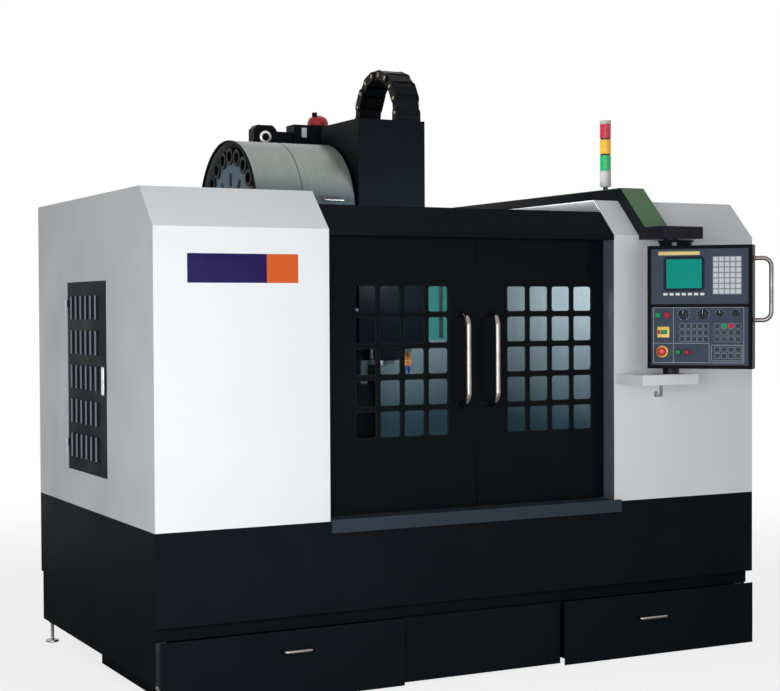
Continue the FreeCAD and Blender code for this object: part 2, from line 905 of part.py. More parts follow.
# ---------------------------------------------------------------- header, jambs, sill


def door_frame():
    """Black header folded over the doors with its hanging rail, and a jamb at each side."""
    t = dim.sheet
    header = new_body("header")
    depth, top, fold = dim.header_depth, dim.header_top, dim.fold_height
    rear = dim.track_front + 12
    grow(header, "YZ_Plane", dim.left_width, dim.right_start - dim.left_width, outlines=[[
        (60, dim.header_bottom), (0, dim.header_bottom), (0, fold), (depth, top), (rear, top),
        (rear, dim.track_bottom), (rear - t, dim.track_bottom), (rear - t, top - t),
        (depth + 1.2, top - t), (t, fold - 1.2), (t, dim.header_bottom + t),
        (60, dim.header_bottom + t)]])
    track = block("track", (t, dim.shell_width - t), (dim.track_front, rear - t),
                  (dim.track_bottom, dim.track_top))
    jambs = [block(f"jamb_{index}", edge, (t + 1, 78), (dim.sill_top, dim.fold_height - 4))
             for index, edge in enumerate(((dim.left_width - t, dim.left_width),
                                           (dim.right_start, dim.right_start + t)))]
    finish(fuse("frame", [header, track] + jambs), "door_frame")


def door_sill():
    """Blue-grey sill: a strip proud of the front, and the ledge under the doors."""
    strip = block("sill_strip", (dim.left_width + 2, dim.sill_end), (-dim.sill_proud, 0),
                  (dim.sill_bottom, dim.sill_top))
    ledge = block("sill_ledge", (dim.left_width + 2, dim.right_start - 3), (0, 128),
                  (dim.skirt_top, dim.sill_top))
    finish(fuse("sill", [strip, ledge]), "door_sill")


door_frame()
door_sill()

# ---------------------------------------------------------------- sliding doors


def sliding_door(side):
    """Black sheet door: folded edges, a pierced window grid, two hanging rollers."""
    body = new_body(side + "_leaf")
    t, front, deep = dim.sheet, dim.door_front, dim.door_flange
    start, end = (dim.left_door_start, dim.door_split - 1) if side == "left" else (
        dim.door_split + 1, dim.right_door_end)
    pane_start = dim.left_window_start if side == "left" else dim.right_window_start
    grow(body, "XZ_Plane", front, deep, outlines=[span(start, end, dim.door_bottom, dim.door_top)])
    sink(body, "XZ_Plane", front + t, deep, outlines=[span(
        start + t, end - t, dim.door_bottom + t, dim.door_top - t)])
    lugs = [start + 60, end - 120]
    grow(body, "XZ_Plane", front + deep - t, t, outlines=[
        span(x, x + 60, dim.door_top - t, dim.track_top + 40) for x in lugs])
    grow(body, "XZ_Plane", front + deep, 13, circles=[
        (x + 30, dim.track_top + dim.roller_radius + 0.3, dim.roller_radius) for x in lugs])
    pane = sink(body, "XZ_Plane", front - 1, t + 2, outlines=[clipped(
        pane_start, dim.window_bottom, dim.pane_width, dim.pane_height, dim.pane_clip)])
    grid(body, [pane], ("X_Axis", dim.pane_pitch, 4), ("Z_Axis", dim.row_pitch, 5))
    finish(body, side + "_door")


def door_glass(side):
    """Laminated pane bonded behind the window grid."""
    start = dim.left_window_start if side == "left" else dim.right_window_start
    behind = dim.door_front + dim.sheet
    lap = dim.glass_lap
    pane = block(side + "_glass",
                 (start - lap, start + dim.pane_pitch * 3 + dim.pane_width + lap),
                 (behind, behind + dim.glass_thickness),
                 (dim.window_bottom - lap,
                  dim.window_bottom + dim.row_pitch * 4 + dim.pane_height + lap))
    finish(group(side + "_pane", [pane]), side + "_door_glass")


def door_handle(side):
    """Chrome bow handle standing on two round rosettes."""
    place = dim.left_bow if side == "left" else dim.right_bow
    bar = bow(side + "_bow", "YZ_Plane", place, dim.door_front, dim.door_front - dim.bow_reach,
              dim.bow_low, dim.bow_high, dim.bow_bend, dim.bow_radius)
    foot = dim.door_front - dim.rosette_height
    rosettes = [rod(f"{side}_rosette_{index}", "y", (place, foot, level), dim.rosette_radius,
                    dim.rosette_height)
                for index, level in enumerate((dim.bow_low, dim.bow_high))]
    finish(fuse(side + "_handle", [bar] + rosettes), side + "_door_handle")


for which in ("left", "right"):
    sliding_door(which)
    door_glass(which)
    door_handle(which)

# ---------------------------------------------------------------- bed, column, guideways


def rail(name, axis, start, end, across, seat):
    """A profiled linear rail: foot, waist and head. It lies on a seat, or stands on a wall."""
    half = dim.rail_width / 2
    waist = half - 5
    parts = []
    for index, (side, low, high) in enumerate(((half, 0, 10), (waist, 10, 20),
                                               (half, 20, dim.rail_height))):
        level = (seat + low, seat + high) if axis != "z" else (seat - high, seat - low)
        edges = (across - side, across + side)
        limits = {"x": ((start, end), edges, level), "y": (edges, (start, end), level),
                  "z": (edges, level, (start, end))}[axis]
        parts.append(block(f"{name}_{index}", *limits))
    return fuse(name, parts)


def bed_casting():
    """Ribbed cast-iron bed: two raised ways, a screw trough and pockets under its top."""
    body = new_body("bed")
    start, end = dim.bed_start, dim.bed_end
    grow(body, "XY_Plane", dim.floor_gap, dim.bed_floor - dim.floor_gap, outlines=[span(
        start, end, dim.bed_front, dim.bed_rear)])
    for side in (-1, 1):
        place = dim.middle + dim.bed_rail_spread * side
        grow(body, "XY_Plane", dim.bed_floor, dim.way_top - dim.bed_floor,
             outlines=[span(place - 40, place + 40, 380, dim.column_front)])
    sink(body, "XY_Plane", dim.bed_floor - dim.trough_depth, dim.trough_depth + 1, outlines=[span(
        dim.middle - dim.trough_half, dim.middle + dim.trough_half,
        dim.bed_front + 60, dim.column_front - 60)])
    cell = sink(body, "XY_Plane", dim.floor_gap - 1, 330, outlines=[span(
        start + 150, start + 355, dim.bed_front + 30, dim.bed_front + 380)])
    grid(body, [cell], ("X_Axis", 245, 2), ("Y_Axis", dim.cell_pitch, 4))
    finish(body, "bed_casting")


def column_casting():
    """Green cast column: a wide foot drawn in to a straight neck, hollow from behind."""
    body = new_body("column")
    mid, foot, neck = dim.middle, dim.column_foot, dim.column_neck
    grow(body, "XZ_Plane", dim.column_front, dim.column_depth, outlines=[[
        (mid - foot, dim.bed_floor), (mid + foot, dim.bed_floor),
        (mid + foot, dim.foot_shoulder), (mid + neck, dim.neck_shoulder),
        (mid + neck, dim.column_top), (mid - neck, dim.column_top),
        (mid - neck, dim.neck_shoulder), (mid - foot, dim.foot_shoulder)]])
    rear = dim.column_front + dim.column_depth
    sink(body, "YZ_Plane", mid - foot - 1, foot * 2 + 2, outlines=[[
        (rear + 1, dim.rear_taper_start), (rear + 1, dim.column_top + 1),
        (rear - 120, dim.column_top + 1)]])
    cell = sink(body, "XZ_Plane", dim.column_front + 60, dim.column_depth, outlines=[span(
        mid - neck + 40, mid + neck - 40, 640, 960)])
    line_up(body, [cell], "Z_Axis", dim.cell_pitch, 4)
    finish(body, "column_casting")


def guide_rails():
    """The fixed linear rails: two on the bed for the saddle, two on the column for the head."""
    rails = []
    for side in (-1, 1):
        rails.append(rail(f"bed_rail_{side + 1}", "y", 400, 1335,
                          dim.middle + dim.bed_rail_spread * side, dim.way_top))
        rails.append(rail(f"column_rail_{side + 1}", "z", 1120, dim.column_top - 5,
                          dim.middle + dim.column_rail_spread * side, dim.column_front))
    finish(fuse("rails", rails), "guide_rails")


bed_casting()
column_casting()
guide_rails()

# ---------------------------------------------------------------- chamber guards


def chamber_guards():
    """Sheet walls of the working chamber, standing on the pan, and its sloping floors."""
    t = dim.sheet
    left, right = dim.guard_left, dim.guard_right
    front, back, top = dim.guard_front, dim.guard_back, dim.guard_top
    low = pan_top
    walls = [block("guard_left", (left, left + t), (front - t, back + t), (low, top)),
             block("guard_right", (right - t, right), (front - t, back + t), (low, top)),
             block("guard_front", (left + t, right - t), (front - t, front), (low, dim.skirt_top))]
    gap = dim.middle - 190, dim.middle + 190
    for name, outer, bed_edge, inner, height in (
            ("guard_back_left", left + t, dim.bed_start, gap[0], dim.guard_cut),
            ("guard_back_right", right - t, dim.bed_end, gap[1], top)):
        body = new_body(name)
        grow(body, "XZ_Plane", back, t, outlines=[[
            (outer, low), (bed_edge, low), (bed_edge, dim.saddle_bottom + 4),
            (inner, dim.saddle_bottom + 4), (inner, height), (outer, height)]])
        if name.endswith("right"):
            sink(body, "XZ_Plane", back - 1, t + 2, outlines=[span(1898, 1922, 1335, top + 1)])
        walls.append(body)
    for name, outer, bed_edge, lip in (
            ("floor_left", left + t, dim.bed_start, dim.bed_start + 35),
            ("floor_right", right - t, dim.bed_end, dim.bed_end - 35)):
        body = new_body(name)
        level = dim.bed_floor
        grow(body, "XZ_Plane", front, back - front, outlines=[[
            (outer, level + dim.floor_rise), (bed_edge, level), (lip, level), (lip, level + t),
            (bed_edge, level + t), (outer, level + dim.floor_rise + t)]])
        walls.append(body)
    finish(fuse("guards", walls), "chamber_guards")


chamber_guards()

# ---------------------------------------------------------------- saddle, table, cover


def runner(name, centre, level, rail_across, rail_top, axis):
    """A rail carriage: a block with a slot that straddles its rail with running clearance."""
    low, high = level
    half = dim.carriage_length / 2
    edges = (rail_across - dim.carriage_half, rail_across + dim.carriage_half)
    slot_half = dim.rail_width / 2 + dim.rail_play
    slot = (rail_across - slot_half, rail_across + slot_half)
    along = (centre - half, centre + half)
    longer = (centre - half - 1, centre + half + 1)
    if axis == "x":
        base = block(name, along, edges, (low, high))
        groove = block(name + "_groove", longer, slot, (low - 1, rail_top + 0.4))
    elif axis == "y":
        base = block(name, edges, along, (low, high))
        groove = block(name + "_groove", slot, longer, (low - 1, rail_top + 0.4))
    else:
        base = block(name, edges, (low, high), along)
        groove = block(name + "_groove", slot, (rail_top - 0.4, high + 1), longer)
    return carve(name + "_carriage", base, [groove])


def saddle():
    """Cross-shaped cast saddle with the table's rails on top and carriages underneath."""
    body = new_body("saddle_cross")
    mid, half, deep, reach = dim.middle, dim.saddle_half, dim.spindle_depth, dim.table_reach
    wing, waist = dim.saddle_wing, dim.saddle_waist
    grow(body, "XY_Plane", dim.saddle_bottom, dim.saddle_top - dim.saddle_bottom, outlines=[[
        (mid - half, deep - wing), (mid - waist, deep - reach), (mid + waist, deep - reach),
        (mid + half, deep - wing), (mid + half, deep + wing), (mid + waist, deep + reach),
        (mid - waist, deep + reach), (mid - half, deep + wing)]])
    sink(body, "XY_Plane", dim.saddle_bottom - 1, 76, outlines=[span(
        mid - 200, mid + 200, deep - wing, deep + wing)])
    rails = [rail(f"cross_rail_{side + 1}", "x", mid - half + 10, mid + half - 10,
                  deep + dim.cross_rail_spread * side, dim.saddle_top) for side in (-1, 1)]
    feet = [runner(f"saddle_runner_{index}", deep + 145 * along, (566, dim.saddle_bottom),
                   mid + dim.bed_rail_spread * side, dim.way_top + dim.rail_height, "y")
            for index, (side, along) in enumerate(((-1, -1), (-1, 1), (1, -1), (1, 1)))]
    finish(fuse("saddle_whole", [body] + rails + feet), "saddle")


def table():
    """Cast table: three T-slots and a coolant gutter, hollow below, on four carriages."""
    body = new_body("table_top_plate")
    mid, half, deep, reach = dim.middle, dim.table_half, dim.spindle_depth, dim.table_reach
    top = dim.table_top
    grow(body, "XY_Plane", dim.table_bottom, top - dim.table_bottom, outlines=[span(
        mid - half, mid + half, deep - reach, deep + reach)])
    sink(body, "XY_Plane", dim.table_bottom - 1, 51, outlines=[
        span(mid - half + 25, mid - 150 - 25, deep - 65, deep + 65),
        span(mid + 150 + 25, mid + half - 25, deep - 65, deep + 65)])
    sink(body, "XY_Plane", top - 8, 9, outlines=[
        span(mid - half + 10, mid + half - 10, deep - reach + 10, deep + reach - 10),
        span(mid - half + 28, mid + half - 28, deep - reach + 28, deep + reach - 28)])
    first = deep - dim.slot_pitch
    neck, wide = dim.slot_width / 2, dim.undercut_width / 2
    low = top - dim.slot_depth
    ledge = low + dim.undercut_height
    slot = sink(body, "YZ_Plane", mid - half - 1, half * 2 + 2, outlines=[[
        (first - neck, top + 1), (first - neck, ledge), (first - wide, ledge),
        (first - wide, low), (first + wide, low), (first + wide, ledge),
        (first + neck, ledge), (first + neck, top + 1)]])
    line_up(body, [slot], "Y_Axis", dim.slot_pitch, 3)
    feet = [runner(f"table_runner_{index}", mid + 190 * side, (706, dim.table_bottom),
                   deep + dim.cross_rail_spread * along, dim.saddle_top + dim.rail_height, "x")
            for index, (side, along) in enumerate(((-1, -1), (-1, 1), (1, -1), (1, 1)))]
    finish(fuse("table_whole", [body] + feet), "table")


def bed_cover(label, level, start, bottom):
    """One section of the telescopic cover over the bed, each nesting under the next."""
    body = new_body(label + "_sheet")
    t = dim.cover_sheet
    half = dim.cover_half - 5 * level
    top = dim.cover_top - 6 * level
    mid = dim.middle
    grow(body, "XZ_Plane", start, dim.cover_length, outlines=[[
        (mid - half, bottom), (mid - half, top), (mid + half, top), (mid + half, bottom),
        (mid + half - t, bottom), (mid + half - t, top - t), (mid - half + t, top - t),
        (mid - half + t, bottom)]])
    finish(body, label)


saddle()
table()
cover_edge = dim.spindle_depth - dim.table_reach - dim.cover_length
bed_cover("saddle_cover", 0, cover_edge, dim.bed_floor + 0.5)
bed_cover("middle_cover", 1, cover_edge - 130, dim.bed_floor + 0.5)
bed_cover("front_cover", 2, 165, dim.bed_floor)

# ---------------------------------------------------------------- head and spindle


def head_casting():
    """Cast head: a slide on four carriages, a snout and the spindle cartridge below it."""
    mid, deep = dim.middle, dim.spindle_depth
    slide = block("slide", (mid - dim.slide_half, mid + dim.slide_half),
                  (dim.slide_front, dim.carriage_front), (dim.slide_bottom, dim.slide_top))
    snout = new_body("snout")
    front, low, top = dim.snout_front, dim.snout_bottom, dim.snout_top
    grow(snout, "YZ_Plane", mid - dim.snout_half, dim.snout_half * 2, outlines=[[
        (dim.slide_front, low + 120), (dim.slide_front, top), (front + 30, top),
        (front, top - 60), (front, low + 30), (front + 30, low), (1010, low)]])
    sink(snout, "YZ_Plane", mid - 110, 220, outlines=[span(1010, 1215, 1480, 1930)])
    cartridge = rod("cartridge", "z", (mid, deep, dim.nose_bottom + 20), dim.cartridge_radius,
                    dim.snout_bottom - dim.nose_bottom - 20)
    feet = [runner(f"head_runner_{index}", dim.slide_bottom + height,
                   (dim.carriage_front, dim.carriage_front + 38),
                   mid + dim.column_rail_spread * side, dim.column_front - dim.rail_height, "z")
            for index, (side, height) in enumerate(((-1, 80), (-1, 480), (1, 80), (1, 480)))]
    whole = fuse("head_whole", [slide, snout, cartridge] + feet)
    bore = rod("spindle_bore", "z", (mid, deep, dim.nose_bottom), dim.nose_radius + 0.1,
               1932 - dim.nose_bottom)
    finish(carve("head_bored", whole, [bore]), "head_casting")


def head_hood():
    """Black sheet hood that rides with the head: a front and two sides on two brackets."""
    t = dim.sheet
    start, end = dim.hood_start, dim.hood_end
    front, rear = dim.hood_front, dim.hood_rear
    body = new_body("hood")
    grow(body, "XY_Plane", dim.hood_bottom, dim.hood_top - dim.hood_bottom, outlines=[[
        (start, front), (end, front), (end, rear), (end - t, rear), (end - t, front + t),
        (start + t, front + t), (start + t, rear), (start, rear)]])
    brackets = [block(f"hood_bracket_{index}", edge, (880, 1080), (1560, 1590))
                for index, edge in enumerate(((start + t, dim.middle - dim.snout_half),
                                              (dim.middle + dim.snout_half, end - t)))]
    finish(fuse("hood_whole", [body] + brackets), "head_hood")


def spindle_motor():
    """Upright spindle motor with a flange, a square body and a round fan housing."""
    mid, deep, foot = dim.middle, as_size(945), dim.snout_top
    parts = [block("motor_flange", (mid - 105, mid + 105), (deep - 105, deep + 105),
                   (foot, foot + 18)),
             block("motor_body", (mid - 92, mid + 92), (deep - 92, deep + 92),
                   (foot + 18, foot + 230)),
             rod("motor_fan", "z", (mid, deep, foot + 230), 85, 60)]
    finish(fuse("motor", parts), "spindle_motor")


def spindle():
    """Turned spindle with its tool taper, a draw-bar bore and two drive keys at the nose."""
    mid, deep, nose = dim.middle, dim.spindle_depth, dim.nose_bottom
    shaft = rod("shaft", "z", (mid, deep, nose + 12), dim.nose_radius, 680)
    face = rod("nose_face", "z", (mid, deep, nose), dim.nose_radius - 6, 12)
    keys = [block(f"drive_key_{index}", (mid - 8, mid + 8), edge, (nose - 6, nose + 6))
            for index, edge in enumerate(((deep - 50, deep - 34), (deep + 34, deep + 50)))]
    whole = fuse("spindle_solid", [shaft, face] + keys)
    taper = cone("taper", (mid, deep, nose - 1), dim.taper_mouth, dim.taper_end,
                 dim.taper_length)
    bore = rod("draw_bar_bore", "z", (mid, deep, nose + 60), 9, 640)
    finish(carve("spindle_bored", whole, [taper, bore]), "spindle")


def coolant_nozzles():
    """Two tapered coolant hoses with narrow tips, on a manifold beside the cartridge."""
    across, deep = dim.middle + dim.nozzle_across, dim.spindle_depth - 30
    top = dim.snout_bottom - dim.manifold_height
    elbow = top - dim.hose_length
    parts = [block("manifold", (across - 19, across + 19), (deep - 14, deep + 14),
                   (top, dim.snout_bottom))]
    for index, side in enumerate((-1, 1)):
        place = across + dim.nozzle_spread * side
        parts.append(cone(f"hose_{index}", (place, deep, elbow), 7, 9.5, dim.hose_length))
        parts.append(cone(f"hose_tip_{index}", (place, deep, elbow - dim.tip_length), 3, 7,
                          dim.tip_length))
    finish(fuse("nozzles", parts), "coolant_nozzles")


head_casting()
head_hood()
spindle_motor()
spindle()
coolant_nozzles()

# ---------------------------------------------------------------- cable chain

CHAIN_TURN = 20
TAIL_LINKS = 3


def chain_pins():
    """The chain's pin places in the upright plane and each link's heading, by formula.

    The pins stand evenly on a half circle and, at the same pitch, down a straight tail at
    each end of it.
    """
    radius = dim.chain_radius.value
    centre, rise = dim.chain_depth.value, dim.chain_rise.value
    pitch = 2 * radius * math.sin(math.radians(CHAIN_TURN / 2))
    front = [(centre - radius, rise - pitch * step) for step in range(TAIL_LINKS, 0, -1)]
    arc = [(centre - radius * math.cos(math.radians(turn)),
            rise + radius * math.sin(math.radians(turn)))
           for turn in range(0, 181, CHAIN_TURN)]
    rear = [(centre + radius, rise - pitch * step) for step in range(1, TAIL_LINKS + 1)]
    return front + arc + rear, pitch


def link_plate(start, thickness, pitch, half, holes):
    """A link's side plate at the origin: a flat bar with two round ends, and pin holes."""
    top = FreeCAD.Vector(start, 0, half)
    low = FreeCAD.Vector(start, 0, -half)
    step = FreeCAD.Vector(0, pitch, 0)
    edge = Part.Wire([
        Part.LineSegment(top, top + step).toShape(),
        Part.Arc(top + step, FreeCAD.Vector(start, pitch + half, 0), low + step).toShape(),
        Part.LineSegment(low + step, low).toShape(),
        Part.Arc(low, FreeCAD.Vector(start, -half, 0), top).toShape()])
    plate = Part.Face(edge).extrude(FreeCAD.Vector(thickness, 0, 0))
    for place in holes:
        plate = plate.cut(Part.makeCylinder(
            dim.pin_radius.value + dim.pin_play.value, thickness + 2,
            FreeCAD.Vector(start - 1, place, 0),
            FreeCAD.Vector(1, 0, 0)))
    return plate


def chain_link(outer, pitch):
    """One link lying along y: two side plates held by a lid above and a lid below.

    Outer links carry the pins; inner links stand between their plates and have the holes.
    """
    half = dim.chain_height.value / 2
    thick, gap = dim.chain_plate.value, dim.chain_gap.value
    left = dim.chain_start.value
    right = left + dim.chain_width.value
    inset = 0 if outer else thick + gap
    low, high = left + inset, right - inset
    holes = () if outer else (0, pitch)
    parts = [link_plate(low, thick, pitch, half, holes),
             link_plate(high - thick, thick, pitch, half, holes)]
    lid = dim.chain_lid.value
    reach = pitch / 2 - math.sqrt(half ** 2 - (half - lid) ** 2) - 2 * dim.pin_play.value
    for level in (-half, half - lid):
        parts.append(Part.makeBox(high - low - 2 * thick, 2 * reach, lid, FreeCAD.Vector(
            low + thick, pitch / 2 - reach, level)))
    if outer:
        length = thick + gap
        for place in (0, pitch):
            for start in (low + thick, high - thick - length):
                parts.append(Part.makeCylinder(
                    dim.pin_radius.value, length, FreeCAD.Vector(start, place, 0),
                    FreeCAD.Vector(1, 0, 0)))
    return parts[0].multiFuse(parts[1:]).removeSplitter()


def cable_chain():
    """The cable chain's links, each a solid, laid from pin to pin along the bend."""
    pins, pitch = chain_pins()
    kinds = [chain_link(True, pitch), chain_link(False, pitch)]
    links = []
    for index, ((y0, z0), (y1, z1)) in enumerate(zip(pins, pins[1:])):
        heading = math.degrees(math.atan2(z1 - z0, y1 - y0))
        link = kinds[index % 2].copy()
        link.Placement = FreeCAD.Placement(
            FreeCAD.Vector(0, y0, z0), FreeCAD.Rotation(FreeCAD.Vector(1, 0, 0), heading))
        links.append(link)
    chain = doc.addObject("Part::Feature", "chain")
    chain.Shape = Part.Compound(links)
    finish(chain, "cable_chain")


cable_chain()

# ---------------------------------------------------------------- tool magazine


POT_COUNT = 20


def magazine_shroud():
    """Rolled grey cover over the magazine: a half drum with skirts and a closed right end."""
    outer, centre, height = dim.shroud_radius, dim.drum_depth, dim.drum_height
    t = dim.sheet
    start, end = dim.shroud_start, dim.shroud_end
    skirt = height - dim.drum_skirt
    drum = rod("drum", "x", (start, centre, height), outer, end - start)
    walls = block("drum_walls", (start, end), (centre - outer, centre + outer), (skirt, height))
    inner = rod("drum_inner", "x", (start - 1, centre, height), outer - t, end - start - t + 1)
    inner_walls = block("drum_inner_walls", (start - 1, end - t),
                        (centre - outer + t, centre + outer - t), (skirt - 1, height))
    below = block("drum_below", (start - 1, end + 1), (centre - outer - 1, centre + outer + 1),
                  (height - outer - 1, skirt))
    corner = block("drum_corner", (1120, end + 1), (1236, centre + outer + 1),
                   (skirt - 1, height + outer))
    solid = fuse("drum_solid", [drum, walls])
    finish(carve("drum_shell", solid, [inner, inner_walls, below, corner]), "magazine_shroud")


def magazine_bracket():
    """Casting bolted to the column's side: it carries the drum's axle and the arm's drive."""
    centre, height, left = dim.drum_depth, dim.drum_height, dim.middle - dim.column_neck
    body = new_body("bracket_arm")
    grow(body, "YZ_Plane", left - 40, 40, outlines=[[
        (centre - 75, height - 60), (centre + 75, height - 130), (1600, height - 150),
        (1600, height - 20), (centre + 75, height - 10), (centre + 50, height + 60),
        (centre - 50, height + 60), (centre - 75, height + 20)]])
    axle = rod("axle", "x", (dim.disc_face - 14, centre, height), dim.axle_radius,
               left - dim.disc_face - 6)
    collar = rod("axle_collar", "x", (dim.disc_face + 40, centre, height), 45,
                 left - dim.disc_face - 60)
    drive = block("arm_drive", (left - 115, left), (dim.arm_depth - 90, dim.arm_depth + 90),
                  (1560, height - 62))
    neck = block("arm_drive_neck", (left - 40, left), (dim.arm_depth, centre + 60),
                 (height - 120, height - 40))
    shaft = rod("arm_shaft", "z", (dim.arm_middle, dim.arm_depth, dim.arm_height + 60), 28, 60)
    finish(fuse("bracket", [body, axle, collar, drive, neck, shaft]), "magazine_bracket")


def tool_change_arm():
    """Double-ended change arm, parked across the machine, with a gripping fork at each end."""
    body = new_body("change_arm")
    across, deep, reach = dim.arm_middle, dim.arm_depth, dim.arm_reach
    grow(body, "XY_Plane", dim.arm_height, dim.arm_thickness, outlines=[[
        (across - 30, deep - reach - 30), (across + 30, deep - reach - 30),
        (across + 34, deep - 120), (across + 58, deep), (across + 34, deep + 120),
        (across + 30, deep + reach + 30), (across - 30, deep + reach + 30),
        (across - 34, deep + 120), (across - 58, deep), (across - 34, deep - 120)]])
    grow(body, "XY_Plane", dim.arm_height + dim.arm_thickness, 20, circles=[(across, deep, 50)])
    mouth, root, half = dim.fork_mouth, dim.fork_root, dim.fork_half
    sink(body, "XY_Plane", dim.arm_height - 1, dim.arm_thickness + 2, outlines=[
        span(across - mouth, across + root, deep - reach - half, deep - reach + half),
        span(across - root, across + mouth, deep + reach - half, deep + reach + half)])
    finish(body, "tool_change_arm")


def magazine_disc():
    """Magazine disc, turned about its axle: a scalloped rim and oval windows round its hub."""
    body = new_body("disc")
    thick = dim.disc_thickness
    grow(body, "YZ_Plane", 0, thick, circles=[(0, 0, dim.disc_radius)])
    grow(body, "YZ_Plane", thick, dim.hub_length, circles=[(0, 0, dim.hub_radius)])
    sink(body, "YZ_Plane", -1, thick + 40, circles=[(0, 0, dim.axle_radius + 0.1)])
    scallop = sink(body, "YZ_Plane", -1, thick + 2,
                   circles=[(0, dim.pot_circle, dim.pot_radius)])
    ring(body, [scallop], "X_Axis", POT_COUNT)
    window = sink(body, "YZ_Plane", -1, thick + 2, windows=[(
        -dim.oval_width / 2, dim.oval_start, dim.oval_width, dim.oval_length, dim.oval_corner)])
    ring(body, [window], "X_Axis", POT_COUNT // 2)
    bind(body, "Placement.Base.x", dim.disc_face)
    bind(body, "Placement.Base.y", dim.drum_depth)
    bind(body, "Placement.Base.z", dim.drum_height)
    finish(group("disc_mounted", [body]), "magazine_disc")


def tool_pots():
    """Twenty black tool pots in the disc's scallops, each a cup with a tool-sized bore."""
    pots = []
    for index in range(POT_COUNT):
        angle = math.radians(360 / POT_COUNT * index)
        deep = dim.drum_depth + dim.pot_circle * round(math.sin(angle), 6)
        height = dim.drum_height + dim.pot_circle * round(math.cos(angle), 6)
        face = dim.disc_face - dim.pot_proud
        pot = rod(f"pot_{index}", "x", (face, deep, height), dim.pot_radius, dim.pot_length)
        bore = rod(f"pot_bore_{index}", "x", (face - 1, deep, height), dim.socket_radius,
                   dim.socket_depth)
        pots.append(carve(f"pot_cup_{index}", pot, [bore]))
    finish(group("pots", pots), "tool_pots")


magazine_shroud()
magazine_bracket()
tool_change_arm()
magazine_disc()
tool_pots()

# ---------------------------------------------------------------- shelf and motors


def motor_shelf():
    """Welded shelf on the column's top, with the trough that holds the chain's fixed end."""
    low, t = dim.shelf_bottom, dim.shelf_thickness
    front = dim.motor_front - 2
    left = dim.chain_start - 6
    right = dim.chain_start + dim.chain_width + 6
    lift = low + 70
    parts = [block("shelf_plate", (915, 1585), (front, 1560), (low, low + t)),
             block("shelf_rib", (1100, 1106), (front + 20, 1540), (low - 60, low)),
             block("trough_post", (left, right), (1370, 1382), (low + t, lift + 20)),
             block("trough_arm", (left, right), (1205, 1382), (lift, lift + 10)),
             block("trough_back", (left, right), (1205, 1208), (lift + 10, lift + 75)),
             block("trough_left", (left, left + 3), (1150, 1205), (lift, lift + 75)),
             block("trough_right", (right - 3, right), (1150, 1205), (lift, lift + 75)),
             block("trough_sill", (left, right), (1202, 1205), (lift, lift + 75))]
    finish(fuse("shelf", parts), "motor_shelf")


def z_servo_motor():
    """Feed motor of the head: flange, square black body and a connector box in front."""
    foot = dim.shelf_bottom + dim.shelf_thickness
    front = dim.motor_front
    mid, half = dim.servo_across, dim.servo_half
    deep = front + dim.servo_middle
    parts = [block("servo_flange", (mid - half - 8, mid + half + 8),
                   (deep - half - 8, deep + half + 8), (foot, foot + 14)),
             block("servo_body", (mid - half, mid + half), (deep - half, deep + half),
                   (foot + 14, foot + dim.servo_height)),
             block("terminal_box", (dim.terminal_start, dim.terminal_end),
                   (front, front + dim.terminal_depth), (foot, foot + dim.terminal_height))]
    finish(fuse("servo", parts), "z_servo_motor")


def z_motor_cap():
    """Red rounded cap over the feed motor's encoder, with its small plug."""
    body = new_body("cap")
    base = dim.shelf_bottom + dim.shelf_thickness + dim.servo_height
    wide = dim.cap_radius
    turn(body, "XZ_Plane", [
        (0, 0), (wide, 0), (wide, 20), (wide - 8, 38), (wide - 28, 50), (0, 54)], "V_Axis")
    bind(body, "Placement.Base.x", dim.servo_across)
    bind(body, "Placement.Base.y", dim.motor_front + dim.servo_middle)
    bind(body, "Placement.Base.z", base)
    plug = rod("cap_plug", "z", (dim.servo_across - dim.plug_offset, dim.motor_front + 60,
                                 base + 30), dim.plug_radius, 34)
    finish(fuse("cap_whole", [body, plug]), "z_motor_cap")


def magazine_motor():
    """Gear motor of the magazine: black body with a bright ring on its front end."""
    foot = dim.shelf_bottom + dim.shelf_thickness
    front = dim.motor_front
    ring_level = foot + 62
    start, end, top, clip = dim.gear_start, dim.gear_end, foot + dim.gear_height, dim.gear_clip
    body = new_body("gear_body")
    grow(body, "XZ_Plane", front, dim.gear_depth, outlines=[[
        (start, foot), (end, foot), (end, top - clip), (end - clip, top), (start + clip, top),
        (start, top - clip)]])
    link = block("gear_link", (end, dim.terminal_start), (front + 10, front + dim.gear_depth),
                 (foot, foot + dim.link_height))
    ring = rod("gear_ring", "y", (dim.ring_across, front - dim.ring_proud, ring_level),
               dim.ring_radius, dim.ring_proud)
    whole = fuse("gear_motor", [body, link, ring])
    eye = rod("gear_ring_eye", "y", (dim.ring_across, front - dim.ring_proud - 1, ring_level),
              dim.ring_radius - 11, dim.ring_proud + 1)
    finish(carve("gear_motor_ring", whole, [eye]), "magazine_motor")


motor_shelf()
z_servo_motor()
z_motor_cap()
magazine_motor()

# ---------------------------------------------------------------- electrical cabinet


